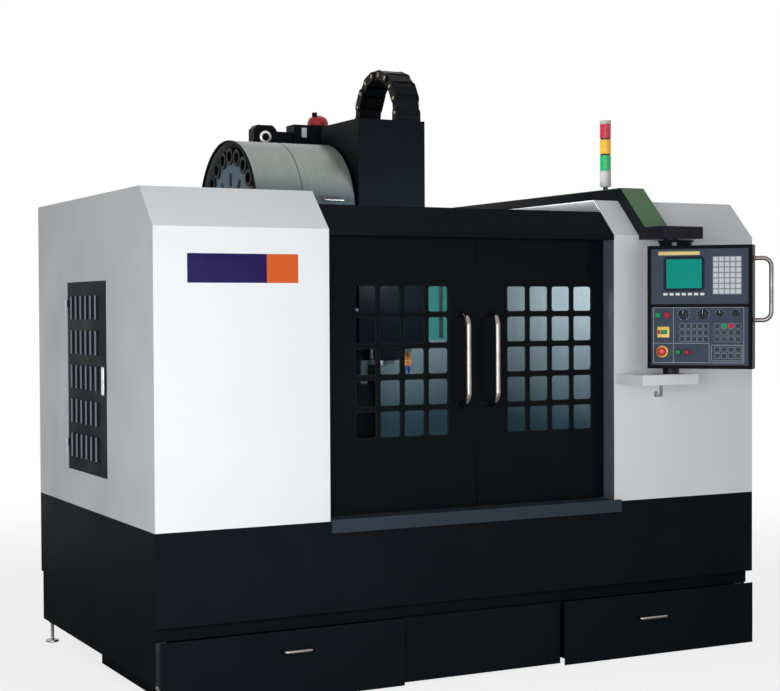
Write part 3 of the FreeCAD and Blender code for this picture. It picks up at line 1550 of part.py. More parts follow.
def electrical_cabinet():
    """Grey control cabinet behind the machine: a shell with its drives on the back wall."""
    start, end = dim.cubicle_start, dim.cubicle_end
    front, rear = dim.shell_depth, dim.cubicle_rear
    low, high = dim.cubicle_bottom, dim.roof_height
    t = dim.sheet
    outside = block("cubicle", (start, end), (front, rear), (low, high))
    inside = block("cubicle_inside", (start + t, end - t), (front + t, rear - t),
                   (low + t, high - t))
    edge = dim.doorway_edge
    doorway = block("cubicle_doorway", (start + edge, end - edge), (rear - t - 1, rear + 1),
                    (low + edge, high - edge))
    shell = carve("cubicle_shell", outside, [inside, doorway])
    drives = []
    for column in range(3):
        for row in range(3):
            across = start + 90 + dim.drive_pitch * column
            level = low + 140 + dim.drive_row_pitch * row
            drives.append(block(f"drive_{column}_{row}", (across, across + dim.drive_width),
                                (front + t, front + 45 + dim.drive_depth),
                                (level, level + dim.drive_height)))
    knuckles = []
    for index, level in enumerate((low + 150, high - 210)):
        knuckles.append(block(f"cubicle_leaf_{index}", (end - 12, end - 2), (rear, rear + 6),
                              (level, level + 29.7)))
        knuckles.append(rod(f"cubicle_knuckle_{index}", "z", (end - 6, rear + 7, level),
                            dim.knuckle_radius, 29.7))
    finish(fuse("cubicle_whole", [shell] + drives + knuckles), "electrical_cabinet")


def electrical_door():
    """The cabinet's rear door, folded at its edges, with hinge knuckles and two locks."""
    start, end = dim.cubicle_start + 8, dim.cubicle_end - 18
    rear = dim.cubicle_rear
    low, high = dim.cubicle_bottom + 8, dim.roof_height - 8
    panel = block("rear_door_panel", (start, end), (rear + 0.5, rear + 14), (low, high))
    hollow = block("rear_door_hollow", (start + 3, end - 3), (rear, rear + 11),
                   (low + 3, high - 3))
    parts = [carve("rear_door_fold", panel, [hollow])]
    for index, level in enumerate((dim.cubicle_bottom + 180, dim.roof_height - 180)):
        parts.append(block(f"rear_door_leaf_{index}", (end, end + 12), (rear + 8, rear + 13),
                           (level, level + 30)))
        parts.append(rod(f"rear_door_knuckle_{index}", "z", (end + 12, rear + 7, level),
                         dim.knuckle_radius, 30))
    for index, level in enumerate((low + 400, high - 400)):
        parts.append(rod(f"rear_door_lock_{index}", "y", (start + 40, rear + 14, level), 13, 6))
    finish(fuse("rear_door", parts), "electrical_door")


electrical_cabinet()
electrical_door()

# ---------------------------------------------------------------- control arm and tower


def pendant_arm():
    """Black cable channel: along the roof, down the sloped front and out over the unit."""
    start, width, high = dim.boom_start, dim.boom_width, dim.boom_height
    roof = dim.roof_height + 1
    channel = new_body("boom")
    grow(channel, "YZ_Plane", start, width, outlines=[[
        (dim.boom_rear, roof), (dim.boom_rear, roof + high), (dim.boom_slope_top, roof + high),
        (dim.boom_nose, dim.boom_nose_top), (dim.boom_nose, dim.boom_nose_bottom),
        (-4, dim.boom_nose_bottom), (-4, dim.fold_height - 1.5), (149, roof)]])
    saddle_pad = block("boom_pad", (start + 20, start + width - 20), (200, dim.boom_rear - 100),
                       (dim.roof_height, roof))
    end_box = block("boom_end", (dim.pivot_across - 70, dim.pivot_across + 135),
                    (dim.pivot_depth - 40, -40), (dim.boom_nose_bottom, dim.boom_nose_top))
    stub = rod("boom_stub", "z", (dim.pivot_across, dim.pivot_depth, 1754.5), 30, 8)
    finish(fuse("boom_whole", [channel, saddle_pad, end_box, stub]), "pendant_arm")


def pendant_arm_cover():
    """Green sheet cover folded over the channel's top and down its sloped front."""
    body = new_body("boom_cover")
    top = dim.roof_height + 1 + dim.boom_height
    t = dim.sheet
    grow(body, "YZ_Plane", dim.boom_start, dim.boom_width, outlines=[[
        (dim.boom_rear, top), (dim.boom_rear, top + t), (dim.boom_slope_top - 1, top + t),
        (dim.boom_nose - t / 2, dim.boom_nose_top + t), (dim.boom_nose, dim.boom_nose_top),
        (dim.boom_slope_top, top)]])
    finish(body, "pendant_arm_cover")


def pendant_shelf():
    """White bracket on the cabinet's front that carries the unit's lower swivel."""
    parts = [block("bracket_plate", (dim.right_start + 4, dim.pivot_across + 110),
                   (dim.pivot_depth - 42, 0), (1158, 1200)),
             rod("bracket_neck", "z", (dim.pivot_across, dim.pivot_depth, 1200), 34, 25.5),
             block("hook_stem", (2118, 2128), (dim.pivot_depth - 34, dim.pivot_depth - 24),
                   (1120, 1158)),
             block("hook_foot", (2092, 2128), (dim.pivot_depth - 34, dim.pivot_depth - 24),
                   (1110, 1120)),
             block("hook_tip", (2092, 2102), (dim.pivot_depth - 34, dim.pivot_depth - 24),
                   (1120, 1134))]
    finish(fuse("shelf_bracket", parts), "pendant_shelf")


def signal_tower():
    """Signal tower: a thin stem, a grey base, dark rings between the lenses and a cap."""
    x, y, radius = dim.tower_across, dim.tower_depth, dim.tower_radius
    foot = dim.roof_height + 1 + dim.boom_height + dim.sheet
    levels = {"stem": (0, 20, 11), "base": (20, 88, radius), "ring_low": (156, 163, radius - 3),
              "ring_high": (225, 232, radius - 3), "cap": (294, 310, radius)}
    parts = [rod("tower_" + name, "z", (x, y, foot + low), wide, high - low)
             for name, (low, high, wide) in levels.items()]
    core = rod("tower_core", "z", (x, y, foot + 20), 8, 280)
    finish(fuse("tower", parts + [core]), "signal_tower")


def tower_lenses():
    """The tower's three ribbed lenses, green below, amber in the middle, red on top."""
    x, y = dim.tower_across, dim.tower_depth
    foot = dim.roof_height + 1 + dim.boom_height + dim.sheet
    lenses = []
    for index, (low, high) in enumerate(((88, 156), (163, 225), (232, 294))):
        lens = rod(f"lens_{index}", "z", (x, y, foot + low), dim.tower_radius, high - low)
        core = rod(f"lens_core_{index}", "z", (x, y, foot + low - 1), 8, high - low + 2)
        lenses.append(carve(f"lens_ring_{index}", lens, [core]))
    finish(group("lenses", lenses), "tower_lenses")


pendant_arm()
pendant_arm_cover()
pendant_shelf()
signal_tower()
tower_lenses()

# ---------------------------------------------------------------- control unit
# Drawn in its own axes: x to the right along its face, y to its rear, from the swivel axis.

UNIT_FACE = dim.unit_front + dim.face_depth
PUSH_BUTTONS = {"power_on": (-40, 1445), "power_off": (-3, 1445),
                "cycle_start": (42, 1294), "feed_hold": (80, 1294)}
DIALS = {"feed_dial": (64, 1449, 19), "spindle_dial": (144, 1449, 19), "mode_knob": (212, 1453, 12)}
STOP_BUTTON = (-23, 1296)


def pendant_box():
    """Control unit: a housing with a framed face, holes for its controls and a yoke on top."""
    left, right = dim.unit_left, dim.unit_right
    front, rear = dim.unit_front, dim.unit_rear
    low, high = dim.unit_bottom, dim.unit_top
    body = new_body("unit")
    grow(body, "XY_Plane", low, high - low, outlines=[[
        (left, front), (right, front), (right, rear - 24), (right - 24, rear),
        (left + 24, rear), (left, rear - 24)]])
    split = high - dim.unit_split
    sink(body, "XZ_Plane", front - 1, dim.face_depth + 1, outlines=[
        span(left + 16, right - 16, split + 4, high - 14),
        span(left + 16, right - 16, low + 14, split - 8)])
    sink(body, "XZ_Plane", UNIT_FACE - 1, 12, circles=[
        (x, z, dim.stem_hole) for x, z in PUSH_BUTTONS.values()] + [
        (x, z, dim.shaft_hole) for x, z, _ in DIALS.values()] + [(*STOP_BUTTON, dim.stop_hole)])
    grow(body, "XY_Plane", high, 17, outlines=[span(-42, 4, -30, 20), span(28, 84, -30, 20)])
    grow(body, "XY_Plane", high + 16.9, 7, outlines=[span(-48, 92, -34, 26)])
    finish(body, "pendant_box", unit=True)


def pendant_handle():
    """Bent chrome bar along the unit's right side."""
    bar = bow("unit_bow", "XZ_Plane", dim.unit_bow_depth, dim.unit_right,
              dim.unit_right + dim.bow_reach, dim.unit_bow_low, dim.unit_bow_high,
              dim.unit_bow_bend, dim.unit_bow_radius)
    finish(bar, "pendant_handle", unit=True)


def lcd_screen():
    """Green screen behind its window."""
    screen = block("screen", (dim.screen_left, dim.screen_right),
                   (UNIT_FACE - 1.5, UNIT_FACE), (dim.screen_bottom, dim.screen_top))
    finish(group("screen_mounted", [screen]), "lcd_screen", unit=True)


# Each pad of keys: its left edge and the bottom of its first row, the pitch and count of its
# columns, the pitch and count of its rows, and a key's width and height.
KEY_PADS = {
    "letters": (186, 1665, 23, 5, 22, 7, 17, 15),
    "soft": (-18, 1526, 25, 7, 0, 1, 17, 10),
    "mode": (50, 1392, 24, 5, 27, 3, 18, 18),
    "jog": (190, 1392, 28, 4, 27, 3, 20, 18),
    "axis": (190, 1296, 28, 4, 26, 2, 20, 18),
    "lamps": (-28, 1398, 0, 1, 0, 1, 24, 24),
}
SELECTOR = (275, 1453)


def key_pad(name):
    """One pad of like keys standing on the face."""
    start, level, pitch, columns, row_pitch, rows, wide, tall = KEY_PADS[name]
    front = UNIT_FACE - dim.key_height
    keys = []
    for row in range(rows):
        low = level - row_pitch * row
        for column in range(columns):
            left = start + pitch * column
            keys.append(block(f"{name}_{row}_{column}", (left, left + wide),
                              (front, UNIT_FACE), (low, low + tall)))
    return keys


def keypads():
    """The unit's keys, lamps and fixed rings: separate caps standing on its face."""
    keys = []
    for name in KEY_PADS:
        keys += key_pad(name)
    keys.append(rod("selector", "y", (SELECTOR[0], UNIT_FACE - 14, SELECTOR[1]), 12, 14))
    collar = rod("stop_collar", "y", (STOP_BUTTON[0], UNIT_FACE - 2, STOP_BUTTON[1]),
                 dim.collar_radius, 2)
    hole = rod("stop_collar_hole", "y", (STOP_BUTTON[0], UNIT_FACE - 3, STOP_BUTTON[1]), 9, 4)
    keys.append(carve("stop_ring", collar, [hole]))
    finish(group("keys", keys), "keypads", unit=True)


def push_button(label):
    """A push button: a cap in front of the face on a stem in its hole."""
    x, z = PUSH_BUTTONS[label]
    stem = rod(label + "_stem", "y", (x, UNIT_FACE - 4, z), 6, 11)
    if label.startswith("power"):
        cap = block(label + "_cap", (x - 10, x + 10), (UNIT_FACE - 9, UNIT_FACE - 4),
                    (z - 10, z + 10))
    else:
        cap = rod(label + "_cap", "y", (x, UNIT_FACE - 9, z), 10, 5)
    finish(fuse(label + "_whole", [stem, cap]), label, unit=True)


def emergency_stop():
    """Red mushroom button on a stem."""
    x, z = STOP_BUTTON
    head = rod("stop_head", "y", (x, UNIT_FACE - 27, z), dim.stop_radius, 13)
    crown = rod("stop_crown", "y", (x, UNIT_FACE - 31, z), dim.stop_radius - 5, 4)
    stem = rod("stop_stem", "y", (x, UNIT_FACE - 14, z), 8, 19)
    finish(fuse("stop", [head, crown, stem]), "e_stop", unit=True)


def dial(label):
    """A rotary switch: a round knob with a raised grip across it, on a thin shaft."""
    x, z, radius = DIALS[label]
    skirt = rod(label + "_skirt", "y", (x, UNIT_FACE - 8, z), radius, 7.5)
    grip = block(label + "_grip", (x - 4, x + 4), (UNIT_FACE - 18, UNIT_FACE - 8),
                 (z - radius + 1, z + radius - 1))
    shaft = rod(label + "_shaft", "y", (x, UNIT_FACE - 1, z), 4, 10)
    finish(fuse(label + "_whole", [skirt, grip, shaft]), label, unit=True)


pendant_box()
pendant_handle()
lcd_screen()
keypads()
for which in PUSH_BUTTONS:
    push_button(which)
emergency_stop()
for which in DIALS:
    dial(which)

# ---------------------------------------------------------------- checks and files


def overall():
    """The box round every sub-part."""
    box = FreeCAD.BoundBox()
    for part in sub_parts:
        box.add(part.Shape.optimalBoundingBox(False, False))
    return box


doc.recompute()
whole_box = overall()
sheet.set("B%d" % (list(SIZES).index("centre_across") + 1), repr(round(whole_box.Center.x, 3)))
sheet.set("B%d" % (list(SIZES).index("centre_depth") + 1), repr(round(whole_box.Center.y, 3)))
doc.recompute()

for thing in doc.Objects:
    if "Invalid" in thing.State or "Error" in thing.State:
        raise ValueError(f"{thing.Name} did not rebuild: {thing.State}")
for part in sub_parts:
    if part.Shape.isNull() or not part.Shape.isValid() or part.Shape.Volume <= 0:
        raise ValueError(f"{part.Label} is not a sound solid")

os.makedirs("parts", exist_ok=True)
for part in sub_parts:
    part.Shape.exportStep(f"parts/{part.Label}.step")
box = overall()
print(len(sub_parts), "sub-parts,", "box", [round(value, 1) for value in (
    box.XMin, box.XMax, box.YMin, box.YMax, box.ZMin, box.ZMax)])
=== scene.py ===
import math

import bmesh
import bpy
import numpy as np
from mathutils import Matrix, Vector


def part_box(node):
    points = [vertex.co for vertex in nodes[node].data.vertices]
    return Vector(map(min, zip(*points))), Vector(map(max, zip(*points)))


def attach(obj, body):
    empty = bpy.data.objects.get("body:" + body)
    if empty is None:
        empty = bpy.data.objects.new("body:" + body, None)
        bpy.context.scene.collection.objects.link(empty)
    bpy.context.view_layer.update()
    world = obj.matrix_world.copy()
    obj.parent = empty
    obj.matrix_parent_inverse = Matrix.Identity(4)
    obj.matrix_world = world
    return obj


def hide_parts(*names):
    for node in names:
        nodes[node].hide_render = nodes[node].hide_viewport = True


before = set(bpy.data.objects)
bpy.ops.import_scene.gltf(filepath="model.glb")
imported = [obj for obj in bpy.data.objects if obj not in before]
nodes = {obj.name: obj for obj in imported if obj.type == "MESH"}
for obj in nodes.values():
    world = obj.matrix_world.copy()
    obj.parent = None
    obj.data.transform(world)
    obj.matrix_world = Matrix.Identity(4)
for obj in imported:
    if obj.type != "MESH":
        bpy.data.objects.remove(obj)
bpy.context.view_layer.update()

# ------------------------------------------------------------------ levelling feet
# Screwed feet under the bed and at the enclosure's corners: zinc-plated bolts standing in
# pressed pads. The plating is bright but cloudy, with a yellow-blue cast where it is thin.


def linear(code):
    """An sRGB hex colour as linear light: ((c + 0.055) / 1.055) to the power 2.4, or c / 12.92."""
    part = np.array([int(code[place:place + 2], 16) for place in (0, 2, 4)]) / 255
    light = np.where(part > 0.04045, ((part + 0.055) / 1.055) ** 2.4, part / 12.92)
    return (*light.tolist(), 1.0)


def add(tree, kind, sockets=None, **settings):
    """One shader node with its settings; a socket takes a value, or another node's output."""
    node = tree.nodes.new("ShaderNode" + kind)
    for name, value in settings.items():
        setattr(node, name, value)
    for name, value in (sockets or {}).items():
        if isinstance(value, bpy.types.NodeSocket):
            tree.links.new(value, node.inputs[name])
        else:
            node.inputs[name].default_value = value
    return node


def finish(name, tree_of):
    """A material whose nodes tree_of makes: it is given the tree and Object coordinates, and
    returns the shader."""
    material = bpy.data.materials.new(name)
    material.use_nodes = True
    tree = material.node_tree
    tree.nodes.clear()
    where = add(tree, "TexCoord").outputs["Object"]
    shader = tree_of(tree, where)
    add(tree, "OutputMaterial", {"Surface": shader.outputs[0]})
    return material


def mottled(tree, where, code, other, cloud_mm, detail=2.0):
    """Two tones mixed in clouds cloud_mm wide. It returns the mixed tone, and the clouds."""
    cloud = add(tree, "TexNoise", {"Vector": where, "Scale": 1000 / cloud_mm,
                                   "Detail": detail}).outputs["Fac"]
    tone = add(tree, "MixRGB", {"Fac": cloud, "Color1": linear(code),
                                "Color2": linear(other)}).outputs["Color"]
    return tone, cloud


def relief(tree, where, grain_mm, strength, deep_mm, under=None):
    """The normal of bumps grain_mm apart and deep_mm deep, over another relief's normal."""
    grain = add(tree, "TexNoise", {"Vector": where, "Scale": 1000 / grain_mm}).outputs["Fac"]
    sockets = {"Height": grain, "Strength": strength, "Distance": deep_mm / 1000}
    if under:
        sockets["Normal"] = under
    return add(tree, "Bump", sockets).outputs["Normal"]


def clouded(tree, tone, cloud, spread, rough, sockets):
    """The shader of a surface whose roughness goes from the first of rough to the second while
    its clouds go from the first of spread to the second."""
    dim = add(tree, "MapRange", {"Value": cloud, "From Min": spread[0], "From Max": spread[1],
                                 "To Min": rough[0], "To Max": rough[1]}).outputs["Result"]
    return add(tree, "BsdfPrincipled", {"Base Color": tone, "Roughness": dim, **sockets})


def plated(name, dull, bright, rough, cloud_mm, wave_mm):
    """Plated or polished metal: two tones in clouds cloud_mm wide, faint waves wave_mm apart."""
    def nodes_of(tree, where):
        tone, cloud = mottled(tree, where, dull, bright, cloud_mm, 4.0)
        return clouded(tree, tone, cloud, (0.3, 0.7), (rough * 1.3, rough * 0.7), {
            "Metallic": 1.0, "Normal": relief(tree, where, wave_mm, 0.25, 0.2)})
    return finish(name, nodes_of)


zinc = plated("zinc_plated_steel", "8E8B84", "C9C8C2", 0.34, 30, 9)

# The enclosure's lower left front corner on the floor: every place below is in millimetres
# from it, across to the right, up, and out of the surface named by the axes.
zero = np.array(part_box("front_skirt")[0]) * [1, 1, 0]
FRONT = np.array([[1, 0, 0], [0, 0, 1], [0, -1, 0]])
TOP = np.array([[1, 0, 0], [0, 1, 0], [0, 0, 1]])
LEFT = np.array([[0, -1, 0], [0, 0, 1], [-1, 0, 0]])


def lay(points, corner=(0, 0, 0), axes=FRONT):
    """Points [across, up, out] in mm, turned onto axes at a corner of the machine's own x, y, z,
    as metres in the frame."""
    return (np.asarray(points) @ axes + corner) / 1000 + zero


def corners(node):
    """A CAD node's lowest and highest corner in the machine's millimetres."""
    return [(np.array(corner) - zero) * 1000 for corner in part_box(node)]


def skin(name, grid, material, body, ring=False, sharp=40):
    """A piece from a grid of points, [copies, rows, columns, xyz]: squares join each point to
    the next row and column, columns close on themselves, and the rows close too where ring is
    set, or else end in flat faces."""
    grid = np.asarray(grid, float)
    grid = grid.reshape((-1,) + grid.shape[-3:])
    index = np.arange(grid[..., 0].size).reshape(grid.shape[:3])
    beside = np.roll(index, -1, axis=2)
    if ring:
        squares = [index, beside, np.roll(beside, -1, axis=1), np.roll(index, -1, axis=1)]
    else:
        squares = [index[:, :-1], beside[:, :-1], beside[:, 1:], index[:, 1:]]
    faces = np.stack(squares, -1).reshape(-1, 4).tolist()
    if not ring:
        faces += index[:, 0, ::-1].tolist() + index[:, -1].tolist()
    mesh = bpy.data.meshes.new(name)
    mesh.from_pydata(grid.reshape(-1, 3).tolist(), [], faces)
    shell = bmesh.new()
    shell.from_mesh(mesh)
    bmesh.ops.recalc_face_normals(shell, faces=shell.faces)
    shell.to_mesh(mesh)
    shell.free()
    mesh.shade_smooth()
    mesh.set_sharp_from_angle(angle=math.radians(sharp))
    mesh.materials.append(material)
    piece = bpy.data.objects.new(name, mesh)
    bpy.context.scene.collection.objects.link(piece)
    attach(piece, body)
    return piece


def turned(profile, steps=32):
    """Rows of points round an axis: each [radius, height] of the profile becomes a circle."""
    radius, level = np.array(profile, float).T[:, :, None]
    turn = np.linspace(0, 2 * np.pi, steps, endpoint=False)
    return np.stack([radius * np.cos(turn), radius * np.sin(turn),
                     np.broadcast_to(level, (len(radius), steps))], -1)


# The thread is cut coarser than a real one so that it shows, and a locknut sits on it.
FOOT_PLACES = ((36, 70), (2714, 70), (36, 1505), (2714, 1505), (1090, 320), (1660, 320),
               (1090, 1050), (1660, 1050), (1090, 1700), (1660, 1700))
PAD = [(27.5, 0), (29, 1.5), (29, 8), (27, 10.5), (14, 12), (10.5, 15), (8, 17)]
THREAD_FOOT, THREAD_HEAD, THREAD_PITCH = 18, 98, 4
THREAD_RADIUS, THREAD_DEEP, STEM_HEAD = 8, 0.9, 100
NUT = [(12.8, 84), (14, 85.5), (14, 95.5), (12.8, 97)]
crest = np.arange(THREAD_FOOT, THREAD_HEAD, THREAD_PITCH / 2)
thread = [(THREAD_RADIUS - THREAD_DEEP * (row % 2), level) for row, level in enumerate(crest)]
foot = PAD + thread + [(THREAD_RADIUS, STEM_HEAD)]
places = np.array([[[(x, y, 0)]] for x, y in FOOT_PLACES])
pads = skin("levelling_pads", lay(turned(foot, steps=24) + places, axes=TOP), zinc, "machine")
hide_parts("levelling_feet")
skin("levelling_nuts", lay(turned(NUT, steps=6) + places, axes=TOP), zinc, "machine",
     sharp=25)

# ------------------------------------------------------------------ castings
# Bed, saddle, table and column are grey iron castings, filled, enamelled by brush and
# bolted together. Enamel over sand-cast iron shows soft lumps and a dull film of oil.


def dress(material, *names):
    """Gives CAD nodes their finish."""
    for name in names:
        mesh = nodes[name].data
        mesh.materials.clear()
        mesh.materials.append(material)


def between(tree, where, axis, low, high):
    """One between two places along an axis, in the machine's millimetres, and zero elsewhere."""
    place = add(tree, "SeparateXYZ", {"Vector": where}).outputs[axis]
    middle, half = (low + high) / 2000 + zero["XYZ".index(axis)], (high - low) / 2000
    return add(tree, "Math", {0: place, 1: middle, 2: half}, operation="COMPARE").outputs[0]


def banded(tree, where, tone, bands):
    """A tone that changes to each band's own colour between the band's two places on an axis."""
    for *limits, code in bands:
        tone = add(tree, "MixRGB", {"Fac": between(tree, where, *limits), "Color1": tone,
                                    "Color2": linear(code)}).outputs["Color"]
    return tone


def enamelled_casting(name, code, oily, gloss=0.5, bands=()):
    """Enamel on a casting: lumps 7 mm wide, a finer grain of 1.5 mm, and oil in patches."""
    lump_mm, grain_mm, patch_mm = 7, 1.5, 90

    def nodes_of(tree, where):
        tone, patch = mottled(tree, where, code, oily, patch_mm, 5.0)
        tone = banded(tree, where, tone, bands)
        lumps = relief(tree, where, lump_mm, 0.5, 0.8)
        grain = relief(tree, where, grain_mm, 0.3, 0.2, lumps)
        return clouded(tree, tone, patch, (0.35, 0.65), (0.5, 0.3), {
            "Specular IOR Level": gloss, "Normal": grain})
    return finish(name, nodes_of)


grey_casting = enamelled_casting("grey_enamelled_casting", "6C7473", "555D5D")
# The column's front is painted black: painted shade deep in the chamber, behind the head.
COLUMN_SHADE = ("Y", 1300, 1350, "13181B")
teal_casting = enamelled_casting("teal_enamelled_casting", "2E8C88", "24716F",
                                 bands=[COLUMN_SHADE])
dark_casting = enamelled_casting("dark_enamelled_casting", "14151D", "0F1016", 0.1)
dress(grey_casting, "bed_casting", "saddle", "magazine_bracket")
dress(teal_casting, "column_casting")
dress(dark_casting, "head_casting")

# ------------------------------------------------------------------ ground and scraped steel
# Guideways, table, covers, spindle and changer arm are steel or iron finished on a surface
# grinder. Grinding leaves fine parallel lines that draw the light out across them.


def ground(name, code, worn, rough, lines_mm, along):
    """Ground metal: lines lines_mm apart that run along one axis, and a worn, paler tone in
    patches 83 mm wide."""
    wear_mm = 83.3
    stretch = [1.0, 1.0, 1.0]
    stretch[along] = 0.02

    def nodes_of(tree, where):
        drawn = add(tree, "Mapping", {"Vector": where, "Scale": stretch}).outputs["Vector"]
        line = add(tree, "TexNoise", {"Vector": drawn, "Scale": 1000 / lines_mm,
                                      "Detail": 3.0}).outputs["Fac"]
        bump = add(tree, "Bump", {"Height": line, "Strength": 0.35, "Distance": 0.0001})
        tone, _ = mottled(tree, where, code, worn, wear_mm, 4.0)
        return clouded(tree, tone, line, (0.2, 0.8), (rough * 0.7, rough * 1.3), {
            "Metallic": 1.0, "Normal": bump.outputs["Normal"]})
    return finish(name, nodes_of)


dress(ground("ground_rail_steel", "A9ABAD", "C6C8CA", 0.25, 2, 1), "guide_rails")
dress(ground("ground_cast_iron", "7F8486", "9A9EA0", 0.38, 3, 0), "table")
dress(ground("brushed_stainless_cover", "A4A8AB", "C2C5C7", 0.3, 2, 0), "front_cover",
      "middle_cover", "saddle_cover")
dress(ground("ground_tool_steel", "9B9DA0", "BFC1C3", 0.28, 2, 2), "spindle", "tool_change_arm")

# ------------------------------------------------------------------ black base
# The pan, skirts and chip trays are folded sheet steel, the pan in grey enamel and the others
# in a very dark, faintly blue black that shows dust in broad clouds. The shine of the black
# sheet is set low, because the room's white would turn it grey.


def coated_sheet(name, code, dusty, rough, gloss, peel_mm=3, bands=()):
    """Sprayed or powder-coated sheet: orange peel peel_mm across on panels that wave a little
    over 250 mm, and dust that pales and dulls it in clouds 350 mm wide. Each of its bands is an
    axis, two places along it and the colour that the piece has between them."""
    wave_mm, cloud_mm = 250, 350

    def nodes_of(tree, where):
        tone, cloud = mottled(tree, where, code, dusty, cloud_mm, 5.0)
        tone = banded(tree, where, tone, bands)
        waves = relief(tree, where, wave_mm, 0.4, 2)
        peel = relief(tree, where, peel_mm, 0.2, 0.1, waves)
        return clouded(tree, tone, cloud, (0.3, 0.7), (rough * 0.8, rough * 1.25), {
            "Specular IOR Level": gloss, "Normal": peel})
    return finish(name, nodes_of)


black_sheet = coated_sheet("black_enamelled_sheet", "12161A", "171C20", 0.34, 0.004)
dress(black_sheet, "front_skirt", "base_skirts", "left_tray", "right_tray")
dress(coated_sheet("grey_enamelled_pan", "33383A", "3C4244", 0.45, 0.3), "base_pan")

# ------------------------------------------------------------------ tray pulls
# Each chip tray is drawn out by a bent wire pull, welded on and chromed. Chrome is smooth and
# shows only faint smears; its tones are set darker than clean chrome, as the photo shows it.


def bow(low, high, reach, bend, steps=12):
    """A bow's centre line as [run, out]: up a leg, round a quarter circle of radius bend, along
    the run, round a second quarter and down."""
    turn = np.linspace(0, np.pi / 2, steps)
    first = np.stack([low + bend * (1 - np.cos(turn)), reach - bend + bend * np.sin(turn)], -1)
    second = (first * [-1, 1] + [low + high, 0])[::-1]
    return np.concatenate([[(low, 0)], first, second, [(high, 0)]])


def headings(line):
    """Unit directions along a line of points: at each, the mean of the steps on both sides."""
    way = np.diff(line, axis=0)
    way /= np.linalg.norm(way, axis=1, keepdims=True)
    way = np.concatenate([way[:1], way[:-1] + way[1:], way[-1:]])
    return way / np.linalg.norm(way, axis=1, keepdims=True)


def tube(path, radius, normal, steps=20):
    """Rows of points round a path that lies in a plane: at each point a circle spanned by the
    plane's normal and the path's own side, which is the normal crossed with its heading."""
    side = np.cross(normal, headings(path))
    turn = np.linspace(0, 2 * np.pi, steps, endpoint=False)[:, None]
    return path[:, None] + radius * (np.cos(turn) * side[:, None] + np.sin(turn) * normal)


def level_pull(start, end, level, reach, bend, radius, steps=20):
    """A level bent wire from start to end, reach proud of the surface that it stands on."""
    line = bow(start, end, reach, bend)
    path = np.stack([line[:, 0], np.full(len(line), level), line[:, 1]], -1)
    return tube(path, radius, (0, 1, 0), steps)


chrome = plated("polished_chrome", "7A7472", "A8A09C", 0.16, 45, 40)
PULLS = {"left_tray": (488, 601, 195), "right_tray": (2115, 2250, 172)}
PULL_REACH, PULL_BEND, PULL_RADIUS = 33, 14, 6.4
# A tray's box starts at the front of its own pull, this far before its panel.
PULL_FRONT = 39
for tray, place in PULLS.items():
    face = corners(tray)[0][1] + PULL_FRONT
    skin(tray + "_pull", lay(level_pull(*place, PULL_REACH, PULL_BEND, PULL_RADIUS),
                             (0, face, 0)), chrome, tray)

# ------------------------------------------------------------------ white cabinets
# The two side cabinets are folded sheet steel in white powder coat, a cool satin white with
# fine orange peel.
dress(coated_sheet("white_powder_coat", "E6E9EC", "DFE3E7", 0.42, 0.3), "left_cabinet",
      "right_cabinet")

# ------------------------------------------------------------------ two-colour plate
# A blank enamelled aluminium plate stuck to the left cabinet's front, violet over its longer
# part and orange over the rest. Its edges are rounded and its enamel is smooth and glossy.


def rounded(width, height, corner, steps=6):
    """A round-cornered rectangle about its middle, and its outward normals: a quarter circle of
    radius corner about each inner corner."""
    turn = np.radians(np.arange(4)[:, None] * 90 + np.linspace(0, 90, steps))
    normal = np.stack([np.cos(turn), np.sin(turn)], -1)
    inner = np.array([[1, 1], [-1, 1], [-1, -1], [1, -1]]) * [width / 2 - corner,
                                                             height / 2 - corner]
    return (inner[:, None] + corner * normal).reshape(-1, 2), normal.reshape(-1, 2)


def bead(outline, normal, profile):
    """A moulding round an outline: each [outwards, height] of its profile, carried along."""
    out, level = np.array(profile, float).T
    flat = outline[:, None] + out[:, None] * normal[:, None]
    return np.concatenate([flat, np.broadcast_to(level[:, None], (*flat.shape[:2], 1))], -1)


def plate(width, height, corner, thick, edge):
    """Rows of points of a flat plate: its outline, drawn in by edge times 1 - sine while it
    climbs edge times 1 - cosine, and the same again at the top."""
    turn = np.linspace(0, np.pi / 2, 4)
    climb, draw_in = edge * (1 - np.cos(turn)), edge * (1 - np.sin(turn))
    profile = np.stack([-np.concatenate([draw_in, draw_in[::-1]]),
                        np.concatenate([climb, thick - climb[::-1]])], -1)
    return bead(*rounded(width, height, corner), profile).swapaxes(0, 1)


PLATE_START, PLATE_SPLIT, PLATE_END = 130, 444, 572
PLATE_LOW, PLATE_HIGH = 1575, 1683


def two_colours(tree, where):
    """Violet left of the split and orange right of it, each fading a little over 33 mm, on
    aluminium brushed in lines 1.7 mm apart."""
    fade_mm, brush_mm = 33.33, 1.67
    violet, _ = mottled(tree, where, "1B1049", "231454", fade_mm, 4.0)
    orange, _ = mottled(tree, where, "CE5824", "D66430", fade_mm, 4.0)
    tone = add(tree, "MixRGB", {"Fac": between(tree, where, "X", PLATE_SPLIT, PLATE_END + 1),
                                "Color1": violet, "Color2": orange}).outputs["Color"]
    brushed = add(tree, "Mapping", {"Vector": where, "Scale": (0.02, 1, 1)}).outputs["Vector"]
    return add(tree, "BsdfPrincipled", {
        "Base Color": tone, "Roughness": 0.3, "Specular IOR Level": 0.1,
        "Normal": relief(tree, brushed, brush_mm, 0.15, 0.1)})


middle = ((PLATE_START + PLATE_END) / 2, 0, (PLATE_LOW + PLATE_HIGH) / 2)
blank = plate(PLATE_END - PLATE_START, PLATE_HIGH - PLATE_LOW, corner=3, thick=1.5, edge=0.6)
skin("two_colour_plate", lay(blank, middle), finish("enamelled_aluminium_plate", two_colours),
     "machine")
